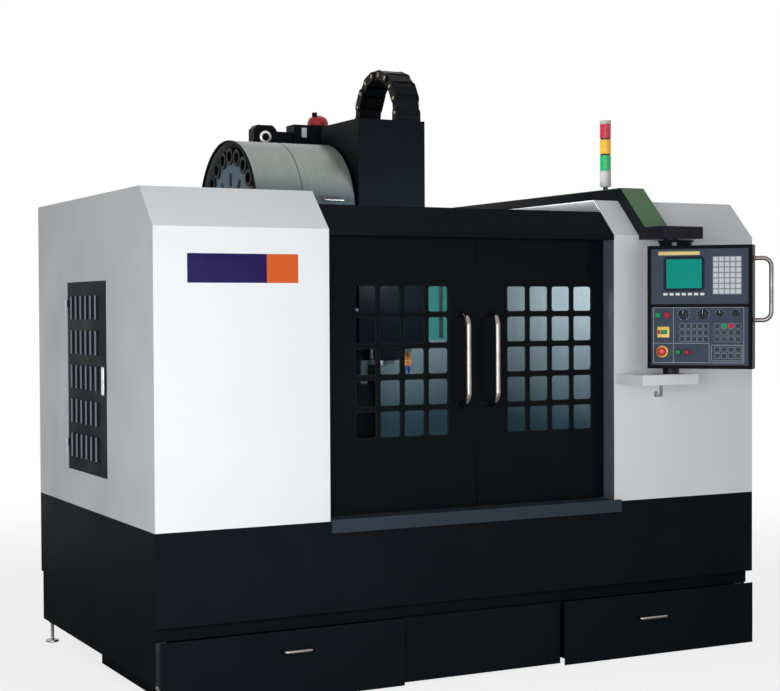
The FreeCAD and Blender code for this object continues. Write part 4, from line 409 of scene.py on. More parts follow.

# ------------------------------------------------------------------ louvred side door
# Sheet steel with pressed louvres, black and more matt than the base. The lips of the louvres
# stand proud and carry a pale grey painted highlight, the hinges' knuckles are white like the
# cabinet, and a bright pull plate covers the lock.
LOUVRE_HIGHLIGHT = ("X", -20, -5.5, "8D98A4")
KNUCKLES = ("Y", 1092, 1130, "E0E3E6")
dress(coated_sheet("black_matt_sheet", "14181E", "1B2027", 0.5, 0.03,
                   bands=[LOUVRE_HIGHLIGHT, KNUCKLES]), "side_door")
bright_steel = plated("bright_turned_steel", "CFCDCA", "E8E6E2", 0.3, 20, 5)
LATCH_PLACE = (-6, 589, 1197)
skin("vent_latch", lay(plate(30, 110, corner=4, thick=3, edge=1), LATCH_PLACE, LEFT),
     bright_steel, "side_door")

# ------------------------------------------------------------------ front opening
# Header, jambs and sill are folded sheet round the doors. The header is black like the
# doors, and the sill is a blue-grey enamel with a dull shine.
dress(coated_sheet("blue_grey_enamelled_sill", "2B353F", "343F49", 0.35, 0.06), "door_sill")
# The right jamb's inner face, where the light rakes it, has a painted sheen of paler blue-grey.
JAMB_SHEEN = ("X", 2015, 2030, "555866")
dress(coated_sheet("black_header_sheet", "12161A", "171C20", 0.34, 0.01, bands=[JAMB_SHEEN]),
      "door_frame")

# ------------------------------------------------------------------ sliding doors
# Two black enamelled doors, each pierced by a grid of twenty panes. The enamel is the
# smoothest on the machine, polished after spraying.
door_sheet = coated_sheet("black_polished_enamel", "0C1014", "101418", 0.16, 0.025)
dress(door_sheet, "left_door", "right_door")

# Laminated safety glass, clear with a grey-blue tint. Its index is set far below real glass,
# because the room's white would veil the panes that look dark on the real doors.


def safety_glass(tree, where):
    """Clear tinted glass, its shine broken a little by smears 40 mm wide."""
    smear_mm = 40
    smear = add(tree, "TexNoise", {"Vector": where, "Scale": 1000 / smear_mm,
                                   "Detail": 4.0}).outputs["Fac"]
    return clouded(tree, linear("BECAD1"), smear, (0.4, 0.7), (0.02, 0.12), {
        "IOR": 1.03, "Transmission Weight": 1.0})


dress(finish("laminated_safety_glass", safety_glass), "left_door_glass", "right_door_glass")


def rubber_of(tree, where):
    """Extruded rubber: matt, near black, with a bloom that greys it in streaks 17 mm wide."""
    bloom_mm, grit_mm = 16.67, 1.11
    tone, _ = mottled(tree, where, "0F1114", "191B1E", bloom_mm, 3.0)
    return add(tree, "BsdfPrincipled", {
        "Base Color": tone, "Roughness": 0.55, "Specular IOR Level": 0.05,
        "Normal": relief(tree, where, grit_mm, 0.3, 0.1)})


# Black rubber gaskets hold the panes' edges, one round each window of the grid.
rubber = finish("extruded_rubber", rubber_of)
PANE_WIDE, PANE_TALL, PANE_CORNER, PANE_PITCH, ROW_PITCH = 90, 105, 12, 108, 123.5
GLASS_LAP = 18
GASKET = [(-2.5, -3), (0, -3), (0, 0), (2.2, 0), (2.6, 0.5), (2.2, 1.2), (0.5, 1.5), (-1.4, 1.2),
          (-2.4, 0.4)]
columns, rows = np.meshgrid(np.arange(4), np.arange(5))
step = np.stack([columns * PANE_PITCH, rows * ROW_PITCH, columns * 0], -1).reshape(-1, 1, 1, 3)
gasket = bead(*rounded(PANE_WIDE, PANE_TALL, PANE_CORNER), GASKET) + step
for door in ("left_door", "right_door"):
    first = corners(door + "_glass")[0] + [GLASS_LAP + PANE_WIDE / 2, 0,
                                           GLASS_LAP + PANE_TALL / 2]
    first[1] = corners(door)[0][1]
    skin(door + "_gaskets", lay(gasket, first), rubber, door, ring=True)

# A black enamelled strip covers the gap where the doors meet.
left_low, left_high = corners("left_door")
SEAL_WIDE, SEAL_TALL, SEAL_PROUD, SEAL_LEVEL = 7, 1080, 2.5, 1225
seal = plate(SEAL_WIDE, SEAL_TALL, corner=3, thick=SEAL_PROUD, edge=1)
skin("door_seal", lay(seal, (left_high[0] - SEAL_WIDE / 2, left_low[1], SEAL_LEVEL)),
     door_sheet, "left_door")

# Each door is drawn by a bow handle of bent tube, 24 mm thick and chromed, screwed on over
# two round black rosettes.
HANDLE_LOW, HANDLE_HIGH, HANDLE_REACH, HANDLE_BEND, HANDLE_RADIUS = 1089, 1455, 68, 50, 12
HANDLE_ACROSS = {"left_door": 1320, "right_door": 1455}
ROSETTE = [(20, 0), (20, 3), (18.5, 4.5), (13, 5)]
line = bow(HANDLE_LOW, HANDLE_HIGH, HANDLE_REACH, HANDLE_BEND)
path = np.pad(line, ((0, 0), (1, 0)))
feet = np.array([[[[0, level, 0]]] for level in (HANDLE_LOW, HANDLE_HIGH)])
for door, across in HANDLE_ACROSS.items():
    place = (across, corners(door)[0][1], 0)
    handle = skin(door + "_bow", lay(tube(path, HANDLE_RADIUS, (1, 0, 0), steps=28), place),
                  chrome, door)
    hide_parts(door + "_handle")
    skin(door + "_rosettes", lay(turned(ROSETTE) + feet, place), door_sheet, door)

# ------------------------------------------------------------------ chamber
# The chamber's guards are sheet that coolant washes: it dries in pale vertical runs. They
# are pale grey, darkened towards the floor by painted shade, and the back wall is teal up high.
BACK_WALL, TEAL_LEVELS, CHAMBER_SHADE_LEVELS = (1290, 1310), (1325, 1800), (950, 1500)


def fading(tree, where, tone, code, low, high):
    """A tone that turns into a colour as its level falls from high to low, in millimetres."""
    level = add(tree, "SeparateXYZ", {"Vector": where}).outputs["Z"]
    height = add(tree, "MapRange", {"Value": level, "From Min": low / 1000,
                                    "From Max": high / 1000}).outputs["Result"]
    return add(tree, "MixRGB", {"Fac": height, "Color1": linear(code),
                                "Color2": tone}).outputs["Color"]


def washed_sheet(tree, where):
    """Pale painted sheet with runs: noise 40 mm wide drawn out down the wall, over orange peel
    of 2.9 mm."""
    run_mm, peel_mm = 40, 2.86
    drawn = add(tree, "Mapping", {"Vector": where, "Scale": (1, 1, 0.12)}).outputs["Vector"]
    pale, run = mottled(tree, drawn, "BEC6CB", "D8DEE1", run_mm, 4.0)
    # Painted shade: the pale sheet turns blue-grey towards the floor.
    grey = fading(tree, where, pale, "496873", *CHAMBER_SHADE_LEVELS)
    teal = add(tree, "Math", {0: between(tree, where, "Y", *BACK_WALL),
                              1: between(tree, where, "Z", *TEAL_LEVELS)},
               operation="MULTIPLY").outputs[0]
    tone = add(tree, "MixRGB", {"Fac": teal, "Color1": grey,
                                "Color2": linear("4FB3A6")}).outputs["Color"]
    return clouded(tree, tone, run, (0, 1), (0.3, 0.6), {
        "Normal": relief(tree, where, peel_mm, 0.2, 0.1)})


dress(finish("washed_grey_sheet", washed_sheet), "chamber_guards")

# ------------------------------------------------------------------ head
# The head's hood is folded black sheet, satin rather than glossy. The spindle motor is black
# lacquered and the coolant nozzles are moulded orange plastic.
dress(coated_sheet("black_satin_sheet", "0C1015", "12161C", 0.36, 0.03), "head_hood")
motor_lacquer = coated_sheet("black_motor_lacquer", "0E1115", "15191F", 0.4, 0.05, 5)
dress(motor_lacquer, "spindle_motor", "z_servo_motor")


def moulded(name, code, worn, rough, grain_mm, gloss=0.45):
    """Moulded plastic: a grain grain_mm wide from the mould, rubbed to a second tone in patches
    56 mm wide."""
    rub_mm = 55.6

    def nodes_of(tree, where):
        tone, rub = mottled(tree, where, code, worn, rub_mm, 4.0)
        return clouded(tree, tone, rub, (0.3, 0.7), (rough * 0.85, rough * 1.15), {
            "Specular IOR Level": gloss, "Normal": relief(tree, where, grain_mm, 0.25, 0.1)})
    return finish(name, nodes_of)


# Two coolant hoses hang from a steel block: orange acetal balls and sockets snapped
# together, each ended by a blue cone.
orange_plastic = moulded("orange_acetal", "E07A22", "F0A040", 0.3, 1.5)
blue_plastic = moulded("blue_acetal", "2A3F8C", "3A55A8", 0.3, 1.5)
HOSE_DEEP, HOSE_HIGH, HOSE_LOW, TIP_LOW, BALLS = 860, 1284, 1218, 1184, 5
HOSE_WAIST, BALL_SWELL, BALL_STEPS, HOSES_ACROSS = 6.4, 2.9, 6, (1480.4, 1499.6)
count = BALLS * BALL_STEPS + 1
ball = np.abs(np.sin(np.linspace(0, np.pi * BALLS, count)))
hose = np.stack([HOSE_WAIST + BALL_SWELL * ball, np.linspace(HOSE_HIGH, HOSE_LOW, count)], -1)
tip = [(6.9, HOSE_LOW), (8.6, HOSE_LOW - 3), (8.6, HOSE_LOW - 7), (5, HOSE_LOW - 22),
       (3.2, TIP_LOW + 1), (2.6, TIP_LOW)]
places = np.array([[[(across, HOSE_DEEP, 0)]] for across in HOSES_ACROSS])
hoses = skin("coolant_hoses", lay(turned(hose, steps=24) + places, axes=TOP), orange_plastic,
             "head", sharp=60)
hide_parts("coolant_nozzles")
skin("hose_tips", lay(turned(tip, steps=24) + places, axes=TOP), blue_plastic, "head")
BLOCK_PLACE = (sum(HOSES_ACROSS) / 2, HOSE_DEEP, HOSE_HIGH)
skin("hose_block", lay(plate(38, 28, corner=3, thick=16, edge=1.2), BLOCK_PLACE, TOP), zinc,
     "head")

# A bright steel air pipe is screwed into the head's underside, left of the spindle.
AIR_PIPE = [(6.5, 1420), (6.5, 1246), (5.6, 1244), (5.6, 1238), (3, 1234), (2.2, 1230)]
PIPE_PLACE = (1289, 812, 0)
skin("air_pipe", lay(turned(AIR_PIPE, steps=24), PIPE_PLACE, TOP), bright_steel, "head")

# ------------------------------------------------------------------ cable chain
# Moulded black nylon links, pinned together. Each pin's end is a domed amber plug that
# shows as a dot on the link's side.
nylon = moulded("black_moulded_nylon", "0C0E11", "14171A", 0.42, 1.2, 0.05)
amber = moulded("amber_nylon", "DDB680", "EDD0A0", 0.35, 1.0)
dress(nylon, "cable_chain")
CHAIN_START, CHAIN_END = 1399, 1520
CHAIN_DEEP, CHAIN_RISE, CHAIN_RADIUS, CHAIN_TURN, CHAIN_TAIL = 988, 2346, 191, 20, 3


def copies(shape, angles, places):
    """Copies of a shape, each turned by its angle round the axis that points out, and moved to
    its place."""
    turn = np.asarray(angles)[:, None, None]
    across, up, out = np.moveaxis(shape, -1, 0)
    return np.stack([across * np.cos(turn) - up * np.sin(turn),
                     across * np.sin(turn) + up * np.cos(turn),
                     np.broadcast_to(out, (len(turn), *out.shape))], -1) + places[:, None, None]


pitch = 2 * CHAIN_RADIUS * math.sin(math.radians(CHAIN_TURN / 2))
turn = np.radians(np.arange(0, 181, CHAIN_TURN))
turn = np.concatenate([np.zeros(CHAIN_TAIL), turn, np.full(CHAIN_TAIL, np.pi)])
tail = pitch * np.arange(1, CHAIN_TAIL + 1)
drop = np.concatenate([tail, np.zeros(len(turn) - 2 * CHAIN_TAIL), tail])
plug = plate(19, 11, corner=2, thick=1.6, edge=0.5)
RIGHT = LEFT * [[-1], [1], [-1]]
for side, across, axes in (("left", CHAIN_START, LEFT), ("right", CHAIN_END, RIGHT)):
    # The bend seen from this side, each spoke from its middle to a pin.
    spoke = np.stack([-np.cos(turn) * axes[0][1], np.sin(turn)], -1)
    place = np.pad(CHAIN_RADIUS * spoke - np.stack([drop * 0, drop], -1), ((0, 0), (0, 1)))
    skin("chain_plugs_" + side, lay(copies(plug, np.arctan2(spoke[:, 1], spoke[:, 0]), place),
                                    (across, CHAIN_DEEP, CHAIN_RISE), axes),
         amber, "cable_chain")


# Snap-on lids close the links' outer side, each tucked under the next.
def arch(radius, skirt, steps=60):
    """An arch as [across, up] points evenly along it: up a leg, round half a circle and down."""
    run = np.linspace(0, 2 * skirt + np.pi * radius, steps)
    turn = np.clip((run - skirt) / radius, 0, np.pi)
    leg = np.minimum(run - skirt, 0) + np.minimum(skirt + np.pi * radius - run, 0)
    return np.stack([-radius * np.cos(turn), radius * np.sin(turn) + leg], -1)


def along(line, profile, swell=0):
    """A profile of [outwards, height] points carried along an open line, square to it, and
    moved outwards by swell."""
    way = headings(line)
    side = np.stack([-way[:, 1], way[:, 0]], -1)
    return bead(line + np.reshape(swell, (-1, 1)) * side, side, profile)


LID_RADIUS, LID_RISE, LID_THICK, LID_INSET, LID_SHORT, LID_STEPS = 202, 4, 2.5, 4, 10, 8
LID_SKIRT = pitch * CHAIN_TAIL - LID_SHORT
length = 2 * LID_SKIRT + np.pi * LID_RADIUS
count = round(length / pitch * LID_STEPS)
swell = LID_RISE * (np.linspace(0, length / pitch, count) % 1)
lid_end = CHAIN_END - CHAIN_START - LID_INSET
LID = [(0, LID_INSET), (LID_THICK, LID_INSET), (LID_THICK, lid_end), (0, lid_end)]
skin("chain_lids", lay(along(arch(LID_RADIUS, LID_SKIRT, count), LID, swell),
                       (CHAIN_END, CHAIN_DEEP, CHAIN_RISE), LEFT),
     nylon, "cable_chain")

# ------------------------------------------------------------------ tool magazine
# The magazine turns under a rolled cover of grey enamelled sheet, in two parts with an open
# seam between them. A black rubber edging is pushed over the cover's open rim.
DRUM_SHADE_LEVELS = (1950, 2060)


def rolled_sheet(tree, where):
    """Grey-green enamel, satin, with faint rolling marks round the drum 20 mm apart. Below
    about 2.06 m it fades to a dark blue-grey: painted shade where the drum turns down to face
    forward."""
    mark_mm = 20
    drawn = add(tree, "Mapping", {"Vector": where, "Scale": (1, 0.04, 0.04)}).outputs["Vector"]
    clean, mark = mottled(tree, drawn, "868D88", "9BA29D", mark_mm)
    bump = add(tree, "Bump", {"Height": mark, "Strength": 0.2, "Distance": 0.0006})
    tone = fading(tree, where, clean, "34454D", *DRUM_SHADE_LEVELS)
    return clouded(tree, tone, mark, (0, 1), (0.25, 0.4), {
        "Metallic": 0.25, "Normal": bump.outputs["Normal"]})


dress(finish("grey_rolled_enamel", rolled_sheet), "magazine_shroud")
DRUM_DEEP, DRUM_RISE, DRUM_RADIUS, DRUM_SKIRT = 1110, 1888, 333, 60
EDGING_RADIUS, SEAM_ACROSS = 332.5, 950
EDGING = [(-6, 0.2), (-6, -8), (2, -8), (2, 0.5), (1, 2.5), (-2, 3.4), (-5, 2.5)]
SEAM = [(-1, -1.2), (0.6, -1.2), (0.9, -0.6), (0.9, 0.6), (0.6, 1.2), (-1, 1.2)]
rim = corners("magazine_shroud")[0][0]
for name, radius, profile, across in (("shroud_edging", EDGING_RADIUS, EDGING, rim),
                                      ("shroud_seam", DRUM_RADIUS, SEAM, SEAM_ACROSS)):
    skin(name, lay(along(arch(radius, DRUM_SKIRT), profile),
                   (across, DRUM_DEEP, DRUM_RISE), LEFT), rubber, "machine")

# A small wire handle lifts the cover's front half.
SHROUD_FRONT, LIFT_LEVEL = 783, 1950
lift = level_pull(1045, 1140, LIFT_LEVEL, reach=13, bend=7, radius=3.5, steps=14)
skin("shroud_handle", lay(lift, (0, SHROUD_FRONT, 0)), zinc, "machine")

# The disc is enamelled grey-blue and the pots are moulded black nylon.
dress(coated_sheet("grey_blue_enamel", "48657C", "57758C", 0.4, 0.2), "magazine_disc")
dress(moulded("black_pot_nylon", "0D0F13", "16191E", 0.45, 1.5, 0.1), "tool_pots")

# ------------------------------------------------------------------ motors on the column
# A servo motor with a red encoder cap and a gear motor stand on a welded shelf. A blank
# white rating plate is stuck on the servo's terminal box.
dress(coated_sheet("grey_shelf_enamel", "595F62", "666C6F", 0.45, 0.4), "motor_shelf")
dress(motor_lacquer, "magazine_motor")
dress(moulded("red_moulded_cap", "B3161D", "C42029", 0.35, 1.2), "z_motor_cap")
white_plastic = moulded("white_label", "E6E8EA", "F0F1F2", 0.4, 1.0)
LABEL_PLACE = (1212.5, corners("z_servo_motor")[0][1], 2304)
skin("servo_label", lay(plate(26, 46, corner=2, thick=1, edge=0.4), LABEL_PLACE),
     white_plastic, "machine")

# A black plug closes the cap's cable outlet.
CAP_PLUG = [(12.3, 2386), (12.6, 2388), (12.6, 2404), (11, 2407.6), (3, 2408)]
PLUG_PLACE = (1294, 1412, 0)
skin("cap_plug", lay(turned(CAP_PLUG, steps=24), PLUG_PLACE, TOP), nylon, "machine")


# The gear motor's output boss carries a bright machined ring.
def hoop(profile, steps=60):
    """A ring about its own axis: a closed profile of [radius, height] carried round a circle."""
    turn = np.linspace(0, 2 * np.pi, steps, endpoint=False)
    outward = np.stack([np.cos(turn), np.sin(turn)], -1)
    return bead(outward * 0, outward, profile)


RING = [(18, -2), (27.5, -2), (28.3, -1), (28.3, 1), (27, 2), (18, 2)]
RING_PLACE = (1013, corners("magazine_motor")[0][1], 2274)
skin("gear_ring", lay(hoop(RING), RING_PLACE), bright_steel, "machine", ring=True)

# ------------------------------------------------------------------ electrical cabinet
# A light grey powder-coated cubicle on the machine's back.
dress(coated_sheet("light_grey_powder_coat", "B9BCBC", "AFB2B3", 0.45, 0.4),
      "electrical_cabinet", "electrical_door")

# ------------------------------------------------------------------ control arm
# A black enamelled cable channel over the right cabinet, with a green sheet cover on top.
dress(coated_sheet("black_arm_enamel", "16171E", "22232D", 0.35, 0.1), "pendant_arm")
dress(coated_sheet("green_enamelled_sheet", "4E7449", "5A8060", 0.5, 0.2), "pendant_arm_cover")

# The unit's lower swivel, black, stands on a white bracket with a grey cable hook under it.
HOOK, SWIVEL = ("Z", 1100, 1157, "8E8F90"), ("Z", 1201, 1230, "15161C")
dress(coated_sheet("white_bracket_enamel", "E8E9EC", "E0E2E5", 0.42, 0.2, bands=[HOOK, SWIVEL]),
      "pendant_shelf")

# ------------------------------------------------------------------ signal tower
# A moulded grey base and cap hold three ribbed acrylic lenses with a painted glow, with dark rings
# between.
TOWER_STEM, TOWER_RINGS = ("Z", 0, 2008, "1A1B1D"), ("Z", 2079, 2283, "1A1B1D")


def tower_of(tree, where):
    """Grey moulded plastic, but black on the stem and on the rings between the lenses."""
    grey, _ = mottled(tree, where, "B6B8B6", "C6C8C6", 25)
    return add(tree, "BsdfPrincipled", {
        "Base Color": banded(tree, where, grey, [TOWER_STEM, TOWER_RINGS]), "Roughness": 0.35})


dress(finish("grey_moulded_tower", tower_of), "signal_tower")


def glowing_lens_of(name, code, bright, rough=0.15, gloss=0.5):
    """Acrylic with a faint painted glow in its own colour, and deep colour in clouds 17 mm wide.
    """
    cloud_mm = 16.67

    def nodes_of(tree, where):
        tone, _ = mottled(tree, where, code, bright, cloud_mm)
        return add(tree, "BsdfPrincipled", {
            "Base Color": tone, "Roughness": rough, "Specular IOR Level": gloss,
            "Emission Color": linear(code), "Emission Strength": 0.15})
    return finish(name, nodes_of)


LENSES = {"green_lens": ("0E9E58", "17B066", 2078, 2146),
          "amber_lens": ("E8A91E", "F2BC32", 2153, 2215),
          "red_lens": ("B81E3C", "CC2A46", 2222, 2284)}
LENS_RIBS, RIB_HIGH, RIB_INSET, RIB_STEPS, LENS_BORE, LENS_GAP = 11, 1.0, 1.1, 4, 8.2, 0.2
tower_low, tower_high = corners("tower_lenses")
tower_middle = (tower_low + tower_high) / 2
rib = np.abs(np.sin(np.linspace(0, np.pi * LENS_RIBS, LENS_RIBS * RIB_STEPS + 1)))
swell = (tower_high - tower_low)[0] / 2 - RIB_INSET + RIB_HIGH * rib
for name, (code, bright, low, high) in LENSES.items():
    level = np.linspace(LENS_GAP, high - low - LENS_GAP, len(swell))
    profile = [(LENS_BORE, level[0]), *zip(swell, level), (LENS_BORE, level[-1])]
    skin(name, lay(turned(profile, steps=40), (*tower_middle[:2], low), TOP),
                       glowing_lens_of("acrylic_" + name, code, bright), "machine",
                       sharp=60)
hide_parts("tower_lenses")

# ------------------------------------------------------------------ control unit
# A black housing whose two sunk faces are slate-blue screen-printed panels. The screen, the
# keys and the switches stand on them. Its places are across and up its own turned face.
PIVOT = np.array([2195, -150, 0])
TURN = math.radians(47)
UNIT = np.array([[math.cos(TURN), -math.sin(TURN), 0], [0, 0, 1],
                 [-math.sin(TURN), -math.cos(TURN), 0]])
UNIT_FACE = 73
pivot = lay((0, 0, 0), PIVOT)


def squared(tree, where):
    """Coordinates turned about the unit's pivot, so that its face looks straight forward."""
    return add(tree, "VectorRotate", {"Vector": where, "Center": Vector(pivot), "Angle": TURN},
               rotation_type="Z_AXIS").outputs["Vector"]


def panel_of(tree, where):
    """The housing is black; the faces sunk in its front, known by their depth, are slate in
    clouds 40 mm wide. Its grain is 1.4 mm wide."""
    cloud_mm, grain_mm = 40, 1.43
    near, far = UNIT_FACE - 1, UNIT_FACE + 1.5
    depth = add(tree, "SeparateXYZ", {"Vector": squared(tree, where)}).outputs["Y"]
    sunk = add(tree, "Math", {0: depth, 1: pivot[1] - (near + far) / 2000,
                              2: (far - near) / 2000}, operation="COMPARE").outputs[0]
    slate, _ = mottled(tree, where, "3E4758", "4B5566", cloud_mm, 4.0)
    tone = add(tree, "MixRGB", {"Fac": sunk, "Color1": linear("0E1017"),
                                "Color2": slate}).outputs["Color"]
    return add(tree, "BsdfPrincipled", {
        "Base Color": tone, "Roughness": 0.38, "Specular IOR Level": 0.02,
        "Normal": relief(tree, where, grain_mm, 0.15, 0.1)})


dress(finish("screen_printed_panel", panel_of), "pendant_box")


def fit(name, shape, material, body="pendant", level=UNIT_FACE, ring=False):
    """A piece whose points are [across, up, out] on the control unit's face."""
    return skin(name, lay(np.asarray(shape) + [0, 0, level], PIVOT, UNIT), material, body,
                ring)


# The bent tube handle on its right side, chromed but duller than the doors' handles.
satin_chrome = plated("satin_chromed_tube", "5C5755", "8A8380", 0.3, 45, 40)
UNIT_SIDE, BAR_LOW, BAR_HIGH, BAR_REACH, BAR_BEND, BAR_RADIUS, BAR_DEEP = (
    342, 1424, 1676, 68, 34, 9, 20)
line = bow(BAR_LOW, BAR_HIGH, BAR_REACH, BAR_BEND)
path = np.stack([UNIT_SIDE + line[:, 1], line[:, 0], np.full(len(line), BAR_DEEP)], -1)
unit_handle = fit("unit_bow", tube(path, BAR_RADIUS, (0, 0, 1), steps=24), satin_chrome,
                  level=0)
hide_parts("pendant_handle")
SMALL_ROSETTE = [(16, 0), (16, 2), (14.5, 3.2), (10, 3.5)]
feet = np.array([[[[-BAR_DEEP, level, UNIT_SIDE]]] for level in (BAR_LOW, BAR_HIGH)])
SIDE = np.array([-UNIT[2], UNIT[1], UNIT[0]])
skin("unit_rosettes", lay(turned(SMALL_ROSETTE) + feet, PIVOT, SIDE), satin_chrome, "pendant")


# The lit screen: green, with rows of darker cells that stand for its blank fields.
def screen_of(tree, where):
    """A liquid-crystal panel: even green light, with rows 9.5 mm apart of cells 14 mm long,
    whose edges are 1.6 mm wide."""
    laid_flat = add(tree, "Mapping", {"Vector": squared(tree, where),
                                      "Rotation": (math.pi / 2, 0, 0)}).outputs["Vector"]
    dash = add(tree, "TexBrick", {
        "Vector": laid_flat, "Scale": 1.0, "Color1": (0, 0, 0, 1),
        "Color2": (0.6, 0.6, 0.6, 1), "Mortar": (1, 1, 1, 1), "Mortar Size": 0.0016,
        "Brick Width": 0.014, "Row Height": 0.0095, "Bias": 0.3}).outputs["Color"]
    tone = add(tree, "MixRGB", {"Fac": dash, "Color1": linear("0C8578"),
                                "Color2": linear("10988A")}).outputs["Color"]
    return add(tree, "BsdfPrincipled", {
        "Base Color": tone, "Roughness": 0.3, "Specular IOR Level": 0.015,
        "Emission Color": tone, "Emission Strength": 0.08})


dress(finish("green_liquid_crystal", screen_of), "lcd_screen")

# A dark moulded surround frames the screen, and a blank yellow strip lies above it.
SCREEN_MIDDLE, SCREEN_SIZE, SCREEN_CORNER = (66, 1614.5, 0), (144, 119), 3
SURROUND = [(0, 0), (11, 0), (11, 2), (10, 3), (2, 3), (0.4, 1.6)]
dark_slate = moulded("dark_slate_surround", "1A1F30", "22283A", 0.4, 1.2, 0.05)
fit("screen_surround", bead(*rounded(*SCREEN_SIZE, SCREEN_CORNER), SURROUND) + SCREEN_MIDDLE,
    dark_slate, ring=True)


def flat(start, end, low, high, thick, corner):
    """A plate between two places across and two levels."""
    return plate(end - start, high - low, corner, thick,
                 min(0.3, thick / 3)) + [(start + end) / 2, (low + high) / 2, 0]


yellow_print = moulded("yellow_printed_strip", "D8C26A", "E4D184", 0.4, 1.0)
fit("blank_strip", flat(-39, 130, 1691, 1706, thick=0.8, corner=1), yellow_print)

# Thin printed lines, raised ink 2 mm wide, frame the lower face, split it into its groups of
# switches, and frame the axis keys once more.
ink = moulded("pale_printed_ink", "8C97A4", "9CA6B2", 0.5, 1.0)
FACE_LINES = [(-59, 307, 1250, 1252), (-59, 307, 1475, 1477), (-60, -58, 1250, 1477),
              (306, 308, 1250, 1477)]
GROUP_LINES = [(22, 24, 1252, 1475), (-58, 168, 1329, 1331), (167, 169, 1252, 1331)]
AXIS_LINES = [(176, 302, 1322, 1324), (176, 302, 1258, 1260), (176, 178, 1260, 1322),
              (300, 302, 1260, 1322)]
fit("printed_lines", [flat(*limits, thick=0.3, corner=0.5)
                      for limits in FACE_LINES + GROUP_LINES + AXIS_LINES], ink)

# Moulded key caps with dished tops. White soft keys stand under the screen, pale keys fill
# the data pad, and slate keys, with a few green and red ones that carry a painted glow, serve the
# machine's modes and axes.
KEY_HIGH, KEY_TALL, MODE_WIDE, JOG_WIDE = 2.5, 18, 18, 20


def dished(shape, inner, deep):
    """A plate whose top ring is repeated, drawn in to a share of its size and sunk."""
    return np.concatenate([shape, shape[-1:] * [inner, inner, 1] - [0, 0, deep]])


def caps(wide, tall, places):
    """Key caps whose lower left corners are at each [across, up]."""
    middles = np.array([[x + wide / 2, z + tall / 2, 0] for x, z in places])
    cap = plate(wide, tall, corner=2, thick=KEY_HIGH, edge=0.7)
    return dished(cap, inner=0.7, deep=0.5) + middles[:, None, None]


def spots(start, level, pitch, count, rows=1, drop=0):
    """Places across and up for rows of keys."""
    return [(start + pitch * index, level - drop * row) for row in range(rows)
            for index in range(count)]


white_key = moulded("white_key_caps", "D9DCE2", "E6E8EC", 0.35, 1.0)
pale_key = moulded("pale_key_caps", "B9BDC6", "C9CCD3", 0.4, 1.0)
pad_grey = moulded("grey_pad_print", "787E8E", "868C9A", 0.45, 1.0, 0.2)
slate_key = moulded("slate_key_caps", "222838", "2E3547", 0.4, 1.0, 0.15)
soft = fit("soft_keys", caps(17, 10, spots(-18, 1526, pitch=25, count=7)), white_key)
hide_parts("keypads")
fit("data_pad_base", flat(182, 299, 1529, 1684, thick=0.8, corner=2), pad_grey)
data = spots(185, 1664, pitch=23, count=5, rows=7, drop=22)
fit("data_keys", caps(19, KEY_TALL, data), pale_key)
mode = spots(50, 1392, pitch=24, count=5, rows=3, drop=27)
jog = spots(190, 1392, pitch=28, count=4, rows=3, drop=27)
axis_keys = spots(190, 1296, pitch=28, count=4, rows=2, drop=26)
GREEN_JOG, RED_JOG = jog[1], jog[2]
plain = [place for place in jog if place not in (GREEN_JOG, RED_JOG)]
fit("mode_keys", caps(MODE_WIDE, KEY_TALL, mode), slate_key)
fit("jog_keys", caps(JOG_WIDE, KEY_TALL, plain + axis_keys), slate_key)

# A printed line runs round each of these keys.
RIM = [(0.8, 0), (2, 0), (2, 0.3), (0.8, 0.3)]
for name, wide, group in (("mode_rims", MODE_WIDE, mode), ("jog_rims", JOG_WIDE, jog + axis_keys)):
    middles = np.array([[[(x + wide / 2, z + KEY_TALL / 2, 0)]] for x, z in group])
    fit(name, bead(*rounded(wide, KEY_TALL, corner=2, steps=3), RIM) + middles, ink, ring=True)

green_cap = glowing_lens_of("green_acrylic_cap", "12804A", "1A935A", 0.35, 0.06)
red_cap = glowing_lens_of("red_acrylic_cap", "A81C2A", "BC2A36", 0.35, 0.06)
fit("glowing_key_green", caps(JOG_WIDE, KEY_TALL, [GREEN_JOG]), green_cap)
fit("glowing_key_red", caps(JOG_WIDE, KEY_TALL, [RED_JOG]), red_cap)

# Square buttons for power, round ones for cycle start and feed hold, their caps with a painted
# glow.
PUSH = {"power_on": (-40, 1445, green_cap, "key_green"),
        "power_off": (-3, 1445, red_cap, "key_red"),
        "cycle_start": (42, 1294, green_cap, "key_green"),
        "feed_hold": (80, 1294, red_cap, "key_red")}
BUTTON = [(5.9, -6), (5.9, 4), (9.9, 4), (9.9, 8), (9.2, 8.9), (7, 9), (5, 8.4), (1, 8.2)]
SLEEVE = [(10.4, 0), (12.5, 0), (12.5, 2.6), (11.8, 3.4), (10.8, 3.4), (10.4, 2.8)]
SQUARE_FOOT = 4
square = plate(20, 20, corner=3, thick=5, edge=1) + [0, 0, SQUARE_FOOT]
for body, (x, z, material, slot) in PUSH.items():
    if body.startswith("power"):
        shape = dished(square, inner=0.75, deep=0.6)
    else:
        shape = turned(BUTTON, steps=28)
        fit(body + "_sleeve", hoop(SLEEVE) + [x, z, 0], dark_slate,
            ring=True)
    cap = fit(body + "_cap", shape + [x, z, 0], material, body)
    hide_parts(body)

# The emergency stop: a red mushroom button in a yellow ring.
STOP = (-23, 1296, 0)
MUSHROOM = [(8, -5), (8, 14), (16.5, 14), (18, 15.5), (18, 22), (17, 26), (13.5, 29.3),
            (8, 30.7), (1, 31)]
COLLAR = [(9.5, 0), (24, 0), (24, 1.2), (22.8, 2.6), (20, 3.2), (11, 3.2), (9.5, 2.4)]
stop_red = moulded("red_moulded_button", "C4201C", "D8352A", 0.28, 1.0)
stop_yellow = moulded("yellow_moulded_ring", "E3B52C", "EFC74A", 0.35, 1.0)
stop = fit("stop_button", turned(MUSHROOM, steps=40) + STOP, stop_red, "e_stop")
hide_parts("e_stop")
fit("stop_ring", hoop(COLLAR) + STOP, stop_yellow, ring=True)

